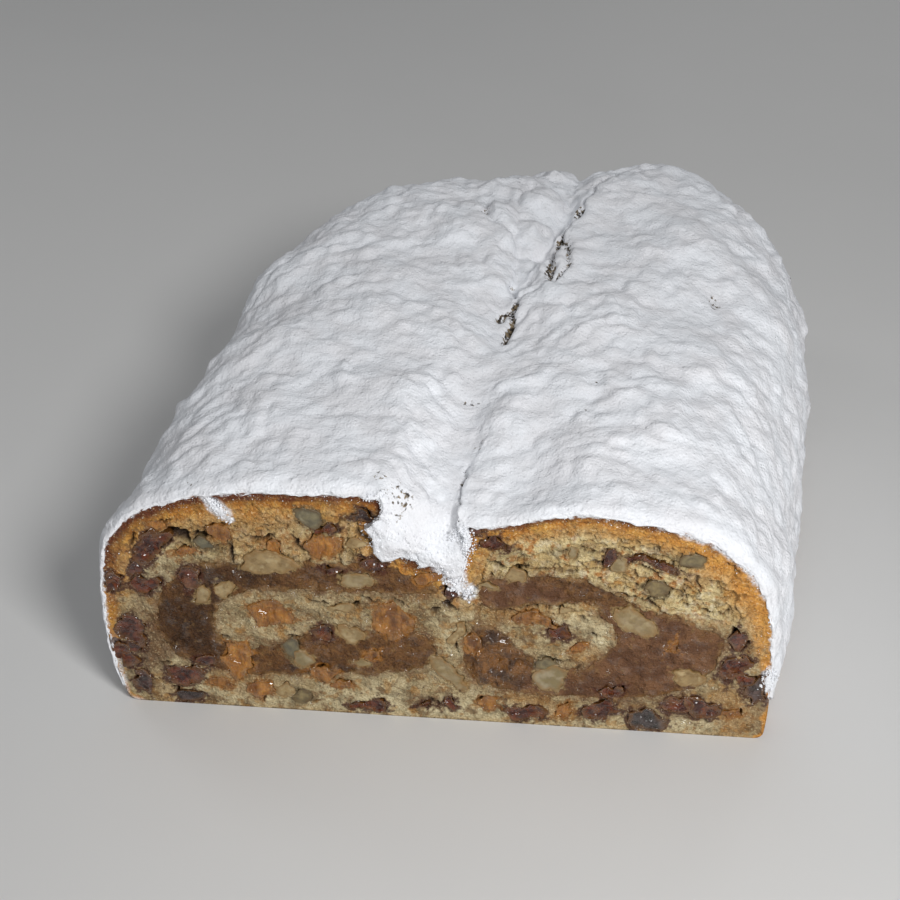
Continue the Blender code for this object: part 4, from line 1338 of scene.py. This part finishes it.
class STOLLEN_OT_paste(StollenPiece, bpy.types.Operator):
    """Build the two scrolls of nut paste that run through the loaf"""
    bl_idname = "stollen.paste"
    bl_label = "Nut Paste"

    def execute(self, context):
        step = self.size("crumb_step")
        finish = nut_paste(self.colours)
        for name, path in (("left", SCROLL_LEFT), ("right", SCROLL_RIGHT)):
            ring = scroll_outline(path, 0.4)
            inner = face_points(step, [ring], lambda x, z: inside(x, z, ring), 9)
            coords, triangles = triangulate([ring], inner)
            middle = coords[triangles].mean(axis=1)
            triangles = triangles[inside(*middle.T, ring)]
            x, z = coords.T
            spots = joined(x, z)
            off = way_off(x, z, np.vstack([ring, ring[:1]])[::2])
            rim = 1 - smooth(0.2, 1.6, off + 0.5 * noise(spots, 1.5, 14))
            depth, by_kind = pockets(x, z)
            relief = 0.15 + 0.26 * octaves(spots, 3.2, 3, 12) + 0.1 * noise(spots, 0.7, 13)
            relief += np.clip(noise(spots, 1.1, 16) - 0.5, 0, 1) * 0.9
            relief += 0.15 * (1 - smooth(0.0, 0.9, off)) + depth
            steeped, dense, pale = (np.zeros(len(x)) for _ in range(3))
            for kept, regions in ((steeped, STEEPED), (dense, DENSE_PASTE), (pale, PALE_PASTE)):
                for place in regions:
                    share = around(x, z, place)[0] + 0.2 * octaves(spots, 3.0, 3, 17)
                    np.maximum(kept, 1 - smooth(0.6, 1.15, share), out=kept)
            folds = np.abs(octaves(spots * (1.0, 0.7), 3.4, 2, 18))
            relief += steeped * (0.9 * folds - 0.25)
            depths = np.linspace(0.0, PASTE_DEPTH - 0.3, TUBE_ROWS)[1:]
            rows_back, walls, last, _ = run_back(ring, depths, list(range(len(ring))), len(x))
            back = triangulate([ring], np.zeros((0, 2)))[1]
            middle = ring[back].mean(axis=1)
            back = back[inside(*middle.T, ring)]
            faces = [tuple(corners) for corners in triangles] + walls
            faces += [tuple(last[n] for n in corners) for corners in back]
            points = np.vstack([joined(x + axis(relief), relief, z), *rows_back])
            fields = {"rim": rim, "amber": steeped, "dense": dense, "pale": pale, **by_kind}
            piece = make_piece(f"nut_paste_{name}", points, faces, [finish], "filling",
                               [f"filling_{name}"], **padded(fields, len(points)))
            turn_out(piece)
        return {"FINISHED"}


def ball(level):
    """Directions to the corners of a fine ball, and its faces."""
    bm = bmesh.new()
    bmesh.ops.create_icosphere(bm, subdivisions=level, radius=1.0)
    ways = np.array([tuple(vert.co) for vert in bm.verts])
    faces = [tuple(vert.index for vert in face.verts) for face in bm.faces]
    bm.free()
    return ways / np.linalg.norm(ways, axis=1, keepdims=True), faces


# How each kind of fruit is built: wrinkle depth and span in mm, how far its cut bulges out.
Flesh = namedtuple("Flesh", "wrinkle span dome")
FLESH = {
    "raisin": Flesh(0.32, 2.8, -0.4), "almond": Flesh(0.14, 2.2, 0.02),
    "orange_peel": Flesh(0.34, 2.4, -0.12), "citron": Flesh(0.25, 1.8, -0.10),
}
RIM_DEPTH = 0.4                 # how deep a fruit's widest ring lies below the cut


def fruit_points(place, kind, deep, proud, level):
    """Points of one cut fruit, its faces, and how near its rim each point is."""
    x0, z0, half_x, half_z, tilt = place[:5]
    ways, faces = ball(level)
    flesh = FLESH[kind]
    angle = np.arctan2(ways[:, 2], ways[:, 0])
    knob = knobbly(angle, x0, z0)
    across, up = half_x * knob * ways[:, 0], half_z * knob * ways[:, 2]
    share = np.hypot(ways[:, 0], ways[:, 2])
    turn = math.radians(tilt)
    x = x0 + across * math.cos(turn) - up * math.sin(turn)
    z = z0 + across * math.sin(turn) + up * math.cos(turn)
    shift_x, shift_z = stray(x, z, kind)
    x, z = x + shift_x, z + shift_z
    back = RIM_DEPTH + (deep - RIM_DEPTH) * ways[:, 1]
    size = min(half_x, half_z)
    lift = np.clip(-ways[:, 1] / 0.3, 0, 1) ** 0.8
    dome = flesh.dome * min(1.0, size / 2.5) * (1 - share ** 2)
    front = RIM_DEPTH - (RIM_DEPTH + proud) * lift - dome
    y = np.where(ways[:, 1] > 0, back, front)
    points = joined(x, y, z)
    scale = min(1.0, size / 2.4)
    seed = int(abs(x0 * 7 + z0 * 13)) + 3
    folds = np.abs(octaves(points, flesh.span * max(0.7, scale), 2, seed)) * 1.6 - 0.5
    fine = noise(points, 0.7, seed + 5)
    push = flesh.wrinkle * scale * (0.8 * folds + 0.08 * fine)
    outward = np.stack([ways[:, 0] * 0.3, ways[:, 1] * 1.2, ways[:, 2] * 0.3], axis=1)
    outward /= np.linalg.norm(outward, axis=1, keepdims=True)
    points = points + outward * push[:, None]
    points[:, 2] = np.maximum(points[:, 2], 0.12)
    return points, faces, smooth(0.6, 0.95, share)


class STOLLEN_OT_fruit(StollenPiece, bpy.types.Operator):
    """Build the raisins, almonds, orange peel and citron that the knife went through"""
    bl_idname = "stollen.fruit"
    bl_label = "Fruit and Nuts"

    def execute(self, context):
        makers = {"raisin": raisin_skin, "almond": almond_flesh, "orange_peel": candied_peel,
                  "citron": candied_citron}
        finishes = {kind: maker(self.colours) for kind, maker in makers.items()}
        proud = self.size("fruit_proud")
        for kind, places, deep in FRUITS:
            for number, place in enumerate(places, start=1):
                level = 5 if max(place[2:4]) > 2.5 else 4
                points, faces, rim = fruit_points(place, kind, deep, proud, level)
                points[:, 0] += axis(points[:, 1])
                node = f"{kind}_{number:02d}"
                make_piece(f"cut_{node}", points, faces, [finishes[kind]], kind, [node],
                           rim=rim, tone=np.full(len(points), place[5]))
        for name, kind, places, deep in BITS:
            points, faces, rims, tones = [], [], [], []
            total = 0
            for place in places:
                some, ring, rim = fruit_points(place, kind, deep, proud - 0.1, 4)
                some[:, 0] += axis(some[:, 1])
                points.append(some)
                faces += [tuple(total + n for n in face) for face in ring]
                rims.append(rim)
                tones.append(np.full(len(some), place[5]))
                total += len(some)
            make_piece(name, np.vstack(points), faces, [finishes[kind]], kind,
                       rim=np.concatenate(rims), tone=np.concatenate(tones))
        return {"FINISHED"}


def coat_feet(y, which):
    """Height of the coat's lower edge: ragged, and higher on the right near the cut."""
    spot = np.array([[y, 40.0 * which]])
    ragged = 1.6 * noise(spot, 9.0, 101)[0] + 1.1 * noise(spot, 3.2, 102)[0]
    base = 3.4 + (9.0 * (1 - smooth(0.0, 26.0, y)) if which else 1.0)
    return float(max(1.4, base + ragged))


def ripples(x, y, z, run, seed, span):
    """Height of the ripples: puffy arcs that bend back over each lobe, with dips between."""
    bend = 22.0 * (np.minimum(np.abs(run), 62.0) / 38.0) ** 2.0
    along = y + bend
    spots = joined(x, y, z)
    wander = joined(3.0 * octaves(spots, 9.0, 2, seed + 1),
                    3.2 * octaves(spots, 9.0, 2, seed + 2))
    flow = joined(along, run * 0.68) + wander
    first = np.sqrt(octaves(flow, span, 2, seed + 3) ** 2 + 0.012) * 1.7 - 0.6
    first = first * (1 + 0.6 * noise(spots, 24.0, seed + 7))
    second = np.sqrt(noise(spots, span * 0.6, seed + 4) ** 2 + 0.01) * 2 - 0.6
    third = octaves(spots, 2.8, 2, seed + 5)
    swell = octaves(spots, 19.0, 2, seed + 6)
    return first, second, third, swell


def dents(x, y):
    """How far lumps rise over the coat and cracks and pits sink into it, and how bare it is."""
    ground = joined(x, y)
    x = x + 0.55 * noise(ground, 2.2, 111)
    y = y + 0.55 * noise(ground, 2.2, 112)
    push = np.zeros(len(x))
    bareness = np.zeros(len(x))
    for half, depth, bare, path in CRACKS:
        off = way_off(x, y, path) / half
        push -= depth * np.exp(-off ** 2)
        bareness = np.maximum(bareness, bare * (1 - smooth(0.5, 1.35, off)))
    for x0, y0, half_x, half_y, depth, bare in PITS:
        off = np.hypot((x - x0) / half_x, (y - y0) / half_y)
        push -= depth * np.exp(-off ** 2)
        bareness = np.maximum(bareness, bare * (1 - smooth(0.6, 1.3, off)))
    for x0, y0, half_x, half_y, rise in LUMPS:
        off = np.hypot((x - x0) / half_x, (y - y0) / half_y)
        push += rise * (1 - smooth(0.35, 1.05, off))
    return push, bareness


def coat_relief(outer, height, span):
    """How far the coat's points stand off its plain form, and how bare it is there."""
    rows = len(outer)
    steps = np.linalg.norm(np.diff(outer, axis=1), axis=2)
    run = np.concatenate([np.zeros((rows, 1)), np.cumsum(steps, axis=1)], axis=1)
    run = (run - run[:, [STRETCHES[0] + STRETCHES[1]]]).ravel()
    points = outer.reshape(-1, 3)
    x, y, z = points.T
    on_left = ripples(x, y, z, run + CROWN_LEFT, 200, span)
    on_right = ripples(x, y, z, run - CROWN_RIGHT, 300, span)
    over_right = smooth(-5.0, 5.0, run)
    first, second, third, swell = ((1 - over_right) * a + over_right * b
                                   for a, b in zip(on_left, on_right))

    # Ripples are lower in the crease, at the cut and on the sides, most on the right one.
    calm = 1 - 0.25 * np.exp(-((x - crease_at(y, SUGAR)[0]) / 5.0) ** 2)
    rim_calm = 0.45 + 0.55 * smooth(0.0, 9.0, y)
    flank = 1 - smooth(34.0, 50.0, z)
    far = smooth(30.0, 70.0, y)
    shy = flank * (0.25 + 0.4 * smooth(0.0, 40.0, x) * (1 - far))
    push = height * calm * rim_calm * (0.68 * (1 - shy) * first + 0.5 * second)
    push += (0.2 + 0.14 * flank + 0.12 * far) * third + (1.35 + 0.35 * far) * swell - 0.25
    fluff = np.exp(-((x + 5.0) / 8.0) ** 2) * (1 - smooth(6.0, 16.0, y)) * smooth(30, 38, z)
    push += 0.4 * fluff * octaves(points, 3.2, 3, 141, 0.6)
    dips, bareness = dents(x, y)
    on_top = smooth(38.0, 48.0, z)
    return push + dips * on_top, bareness * on_top


def coat_lip(outer, bare, normal, out, thickness):
    """Round the coat over at the cut, most where it fills the crease.

    It gives the coat's outer grid, the first row of its under side, and the rows between them.
    """
    notch = np.exp(-((outer[0, :, 0] - HEAP) / 8.0) ** 2) * (outer[0, :, 2] > 35)
    reach = 3.0 + 3.5 * notch
    fall = np.minimum(1.3 + 3.4 * notch, 0.75 * np.maximum(thickness[0], 0.0))
    left_over = np.clip(1 - outer[:, :, 1] / reach, 0, 1)
    drop = fall * (1 - np.sqrt(1 - left_over ** 2))
    outer = outer - normal * drop[..., None]

    # The seam with the crust: sugar laps over the cut, furthest off the crease's left wall.
    spots = bare[0][:, [0, 2]]
    wall = np.exp(-((spots[:, 0] - HEAP_WALL) / 3.0) ** 2) * smooth(57.4, 55.4, spots[:, 1])
    pile = np.maximum(notch, 0.75 * wall)
    lap = 0.3 + 0.9 * notch + wall * (2.0 + 0.8 * octaves(spots, 3.0, 2, 126))
    lap += (0.4 + 0.8 * pile) * octaves(spots, 2.6, 3, 123, 0.7)
    front_in = bare[0] - out[0] * np.maximum(lap, 0.0)[:, None]
    seam = []
    for share in np.linspace(0, 1, LIP_ROWS + 1)[1:-1]:
        row = front_in * (1 - share) + outer[0] * share
        spots = row[:, [0, 2]]
        bulge = 1 - (2 * share - 1) ** 2 * (0.4 if share < 0.5 else 1.0)
        rough = (0.3 + 0.25 * pile) * octaves(spots, 2.8, 3, 121, 0.6)
        rough += (0.16 + 0.2 * pile) * octaves(spots, 1.1, 2, 122, 0.7)
        row[:, 1] = -0.15 * bulge - 1.4 * pile * bulge + rough * bulge
        seam.append(row)
    outer[0, :, 1] += 0.15
    front_in[:, 1] = 0.6
    return outer, front_in, seam


def coat_mesh(outer, seam, inner):
    """Points and faces of the coat: its outer grid, the seam at the cut, and its under side."""
    rows, columns = outer.shape[:2]
    picks = sorted(set(range(0, rows, INNER_EVERY)) | {rows - 1})
    seam_start = [rows * columns + n * columns for n in range(len(seam))]
    inner_start = (rows + len(seam)) * columns
    points = [outer.reshape(-1, 3), *seam, inner[picks].reshape(-1, 3)]
    faces = grid_faces(rows, columns) + grid_faces(len(picks), columns, inner_start)
    order = [0] + seam_start[::-1] + [inner_start]
    for a, b in zip(order, order[1:]):
        faces += strip([a + n for n in range(columns)], [b + n for n in range(columns)])
    for edge in (0, columns - 1):
        faces.append(tuple(start + edge for start in order))
        for number, (a, b) in enumerate(zip(picks, picks[1:])):
            line = [row * columns + edge for row in range(a, b + 1)]
            below = inner_start + number * columns + edge
            faces.append(tuple(line + [below + columns, below]))
    total = inner_start + len(picks) * columns
    last_outer = [(rows - 1) * columns + n for n in range(columns)]
    last_inner = [total - columns + n for n in range(columns)]
    for ring, grid in ((last_outer, outer), (last_inner, inner)):
        points.append(grid[-1].mean(axis=0)[None])
        faces += [(a, b, total) for a, b in zip(ring, ring[1:])]
        total += 1
    faces.append((last_outer[-1], last_outer[0], total - 2))
    faces.append((last_inner[-1], last_inner[0], total - 1))
    return np.vstack(points), faces


class STOLLEN_OT_sugar(StollenPiece, bpy.types.Operator):
    """Build the coat of icing sugar with its ripples, lumps, cracks and ragged edges"""
    bl_idname = "stollen.sugar"
    bl_label = "Icing Sugar"

    def execute(self, context):
        places = stations(self.size("sugar_step"))
        feet = [(coat_feet(y, 0), coat_feet(y, 1)) for y in places]
        outer = skin_grid(places, SUGAR, feet)
        bare = skin_grid(places, BARE, feet)
        rows, columns = outer.shape[:2]
        push, bareness = coat_relief(outer, self.size("ripple"), self.size("ripple_span"))

        # The coat thins towards its lower edge, where the crust begins to show.
        line = np.minimum(np.arange(columns), np.arange(columns)[::-1])[None].repeat(rows, 0)
        push = push.reshape(rows, columns) * (0.25 + 0.75 * smooth(0, FOOT_LINES, line))
        normal = grid_normals(outer)
        outer = outer + normal * push[..., None]
        taper = 0.15 + 0.85 * smooth(0, 13, line)
        outer = bare + (outer - bare) * taper[..., None]
        thin = 0.5 * (1 - smooth(0, 7, line.ravel()))

        # It stays at least 0.22 mm thick.
        out = grid_normals(bare)
        inner = bare + 0.12 * out
        inner[-1, :, 1] += 0.5
        thickness = ((outer - inner) * out).sum(axis=2)
        short = spread(np.maximum(0.22 - thickness, 0.0), 4)
        outer = outer + out * short[..., None]
        outer, inner[0], seam = coat_lip(outer, bare, normal, out, thickness)
        points, faces = coat_mesh(outer, seam, inner)
        fields = padded({"bare": bareness, "thin": thin}, len(points))
        piece = make_piece("icing_sugar", points, faces, [icing_sugar(self.colours)], "sugar",
                           ["sugar_coat"], **fields)
        turn_out(piece)
        return {"FINISHED"}


class STOLLEN_OT_spill(StollenPiece, bpy.types.Operator):
    """Lay the sugar that fell over the cut, and the clots around it"""
    bl_idname = "stollen.spill"
    bl_label = "Spilled Sugar"

    def execute(self, context):
        finish = icing_sugar(self.colours)
        points, faces = [], []
        total = 0
        for half, _, path in SPILLS:
            ends = np.array(path)
            low, high = ends.min(axis=0) - 2.2 * half, ends.max(axis=0) + 2.2 * half
            low[1] = max(low[1], 0.1)
            columns, rows = (int(size / SPILL_STEP) + 1 for size in high - low)
            column, row = np.meshgrid(np.arange(columns), np.arange(rows))
            x = (low[0] + column * SPILL_STEP).ravel()
            z = (low[1] + row * SPILL_STEP).ravel()
            thick = spilled(x, z)
            some = joined(x, 0.3 - np.clip(thick, -0.5, 9), z)
            some[:, 0] += axis(some[:, 1])
            kept = thick > -0.45
            ring = [face for face in grid_faces(rows, columns) if kept[list(face)].all()]
            used = sorted({corner for face in ring for corner in face})
            new = {corner: total + n for n, corner in enumerate(used)}
            points.append(some[used])
            faces += [tuple(new[corner] for corner in corners) for corners in ring]
            total += len(used)
        points = np.vstack(points)
        zero = np.zeros(len(points))
        make_piece("sugar_spill", points, faces, [finish], "sugar", bare=zero, thin=zero)
        self.clots(finish)
        return {"FINISHED"}

    def clots(self, finish):
        """Small clots on the sugar in the crease and where the spilled sugar gives out."""
        rng = np.random.default_rng(12)
        balls = ball(1), ball(2)
        points, faces = [], []

        def lay(where, size, squash=1.0, lumpy=0.0):
            """One grain, finer where it is large enough to show its shape."""
            ways, ring = balls[int(size > FINE_GRAIN)]
            shape = 1 + lumpy * noise(ways * 1.1 + where, 0.9, 5)
            start = len(points)
            points.extend(where + ways * shape[:, None] * size * squash)
            faces.extend(tuple(start + n for n in corners) for corners in ring)

        # Grains on the pile in the crease and on the crumb along its edge.
        coat = bpy.data.objects["icing_sugar"].data
        ground = np.zeros(3 * len(coat.vertices))
        coat.vertices.foreach_get("co", ground)
        ground = ground.reshape(-1, 3) / MM - PLACE
        front = ground[(ground[:, 1] < -0.25) & (np.abs(ground[:, 0] + 5.0) < 11)]
        heap = front[rng.integers(0, len(front), HEAP_GRAINS)]
        heap = heap + rng.uniform(-0.4, 0.4, (HEAP_GRAINS, 3)) * (1, 0, 1)
        fringe = front[rng.integers(0, len(front), FRINGE_GRAINS)]
        fringe = fringe + rng.normal(0, 1.1, (FRINGE_GRAINS, 3)) * (1, 0, 1) - (0.5, 0, 0.7)
        fringe[:, 1] = 0.1 + 0.1 * rng.random(FRINGE_GRAINS)
        fringe = fringe[fringe[:, 2] < FRINGE_TOP]
        for where in np.vstack([heap, fringe]):
            size = 0.06 + 0.18 * rng.random() ** 3
            lay(where, size, rng.uniform(0.7, 1.2, 3))

        # Grains where the spills give out.
        for half, _, path in SPILLS:
            ends = np.array(path)
            low, high = ends.min(axis=0) - 2.4 * half, ends.max(axis=0) + 2.4 * half
            spots = rng.uniform(low, high, (int(16 * np.prod(high - low)), 2))
            thick = spilled(*spots.T)
            chance = np.exp(-np.maximum(-thick, 0.0) / 0.45) * (thick < 0.25) * 0.5
            spots = spots[(rng.random(len(spots)) < chance) & (spots[:, 1] > 0.3)]
            for x0, z0 in spots:
                size = 0.08 + 0.26 * rng.random() ** 3
                where = np.array([x0, 0.15 - 0.6 * size, z0])
                lay(where, size, rng.uniform(0.7, 1.2, 3), 0.35)

        # Grains on the crust below the coat's edge.
        top = section(0.0, BARE)[STRETCHES[0] // 5: -STRETCHES[3] // 5, [0, 2]]
        top = top[(top[:, 0] < -14) | (top[:, 0] > 5)]
        below = np.stack([-top[:, 0] * 0.02, np.full(len(top), -1.0)], axis=1)
        count = 3 * len(top)
        picks = rng.integers(0, len(top), count)
        depth = 0.1 + 1.8 * rng.random(count) ** 3
        patchy = octaves(top, 6.0, 2, 151)[picks] * 0.5 + 0.5
        for pick, low, chance in zip(picks, depth, patchy):
            if rng.random() > chance:
                continue
            size = 0.04 + 0.1 * rng.random() ** 2
            x0, z0 = top[pick] + below[pick] * low + rng.uniform(-0.3, 0.3, 2)
            lay(np.array([x0, 0.1 - 0.4 * size, z0]), size)
        points = np.vstack(points)
        zero = np.zeros(len(points))
        make_piece("sugar_clots", points, faces, [finish], "sugar", bare=zero, thin=zero)


# Lamps: name, place and target in the cut frame in mm, size in metres and power in watts.
LAMPS = (
    ("key", (150, -250, 355), (5, 15, 40), 0.13, 1.25),
    ("low", (185, -370, 60), (5, 0, 30), 0.07, 0.37),
    ("high", (-180, 80, 700), (10, 60, 30), 0.5, 0.2),
    ("left", (-380, 250, 330), (-40, 70, 30), 0.16, 0.15),
    ("back", (230, 480, 280), (20, 130, 30), 0.16, 0.14),
)
FILL_COLOUR = (0.93, 0.96, 1.0)
FILL_STRENGTH = 0.2
# The camera: its place in the cut frame in mm, its turn to the left, pitch down and roll in
# degrees, and its lens in mm.
CAMERA_PLACE = (8.9, -236.0, 258.0)
CAMERA_TURNS = (2.07, 38.0, 2.03)
CAMERA_LENS = 64.0


class STOLLEN_OT_stage(StollenPiece, bpy.types.Operator):
    """Lay the floor and set the lights and the camera"""
    bl_idname = "stollen.stage"
    bl_label = "Floor, Lights and Camera"

    def execute(self, context):
        scene = context.scene
        half = self.size("floor") / 2 * MM
        mesh = bpy.data.meshes.new("floor")
        corners = [(-half, -half, 0), (half, -half, 0), (half, half, 0), (-half, half, 0)]
        mesh.from_pydata(corners, [], [(0, 1, 2, 3)])
        floor = bpy.data.objects.new("floor", mesh)
        scene.collection.objects.link(floor)
        mesh.materials.append(painted_board(self.colours))

        world = bpy.data.worlds.new("studio")
        world.use_nodes = True
        fill = world.node_tree.nodes["Background"]
        fill.inputs[0].default_value = (*FILL_COLOUR, 1.0)
        fill.inputs[1].default_value = FILL_STRENGTH
        scene.world = world
        for lamp in LAMPS:
            self.lamp(scene, *lamp)

        yaw, pitch, roll = (math.radians(turn) for turn in CAMERA_TURNS)
        ahead = Vector((-math.sin(yaw) * math.cos(pitch), math.cos(yaw) * math.cos(pitch),
                        -math.sin(pitch)))
        right = Vector((math.cos(yaw), math.sin(yaw), 0))
        up = right.cross(ahead)
        tilted = math.cos(roll) * right + math.sin(roll) * up
        upright = math.cos(roll) * up - math.sin(roll) * right
        data = bpy.data.cameras.new("camera")
        data.lens = CAMERA_LENS
        data.sensor_width = 36.0
        data.clip_start = 0.01
        camera = bpy.data.objects.new("camera", data)
        camera.matrix_world = Matrix((tilted, upright, -ahead)).transposed().to_4x4()
        camera.location = Vector((np.array(CAMERA_PLACE) + PLACE) * MM)
        scene.collection.objects.link(camera)
        scene.camera = camera
        scene.view_settings.view_transform = "Standard"
        return {"FINISHED"}

    def lamp(self, scene, name, place, target, size, power):
        """A soft lamp at a place in the cut frame, aimed at a target there."""
        data = bpy.data.lights.new(name, "AREA")
        data.shape = "DISK"
        data.size = size
        data.energy = power
        made = bpy.data.objects.new(name, data)
        start = Vector((np.array(place) + PLACE) * MM)
        aim = Vector((np.array(target) + PLACE) * MM) - start
        made.rotation_euler = aim.to_track_quat("-Z", "Y").to_euler()
        made.location = start
        scene.collection.objects.link(made)


class STOLLEN_PT_panel(bpy.types.Panel):
    """Sidebar panel with the settings and the steps in order"""
    bl_idname = "STOLLEN_PT_panel"
    bl_label = "Stollen"
    bl_space_type = "VIEW_3D"
    bl_region_type = "UI"
    bl_category = "Stollen"

    def draw(self, context):
        layout = self.layout
        for group in (context.scene.stollen_sizes, context.scene.stollen_colours):
            box = layout.box()
            for name in group.__annotations__:
                box.prop(group, name)
        for operator in OPERATORS:
            layout.operator(operator.bl_idname)


OPERATORS = (STOLLEN_OT_stage, STOLLEN_OT_crumb, STOLLEN_OT_paste, STOLLEN_OT_fruit,
             STOLLEN_OT_sugar, STOLLEN_OT_spill)
CLASSES = (StollenSizes, StollenColours, *OPERATORS, STOLLEN_PT_panel)


def register():
    for made in CLASSES:
        bpy.utils.register_class(made)
    bpy.types.Scene.stollen_sizes = PointerProperty(type=StollenSizes)
    bpy.types.Scene.stollen_colours = PointerProperty(type=StollenColours)


def unregister():
    del bpy.types.Scene.stollen_colours
    del bpy.types.Scene.stollen_sizes
    for made in reversed(CLASSES):
        bpy.utils.unregister_class(made)


def main():
    register()
    bpy.ops.stollen.stage()
    bpy.ops.stollen.crumb()
    bpy.ops.stollen.paste()
    bpy.ops.stollen.fruit()
    bpy.ops.stollen.sugar()
    bpy.ops.stollen.spill()


if __name__ == "__main__":
    main()
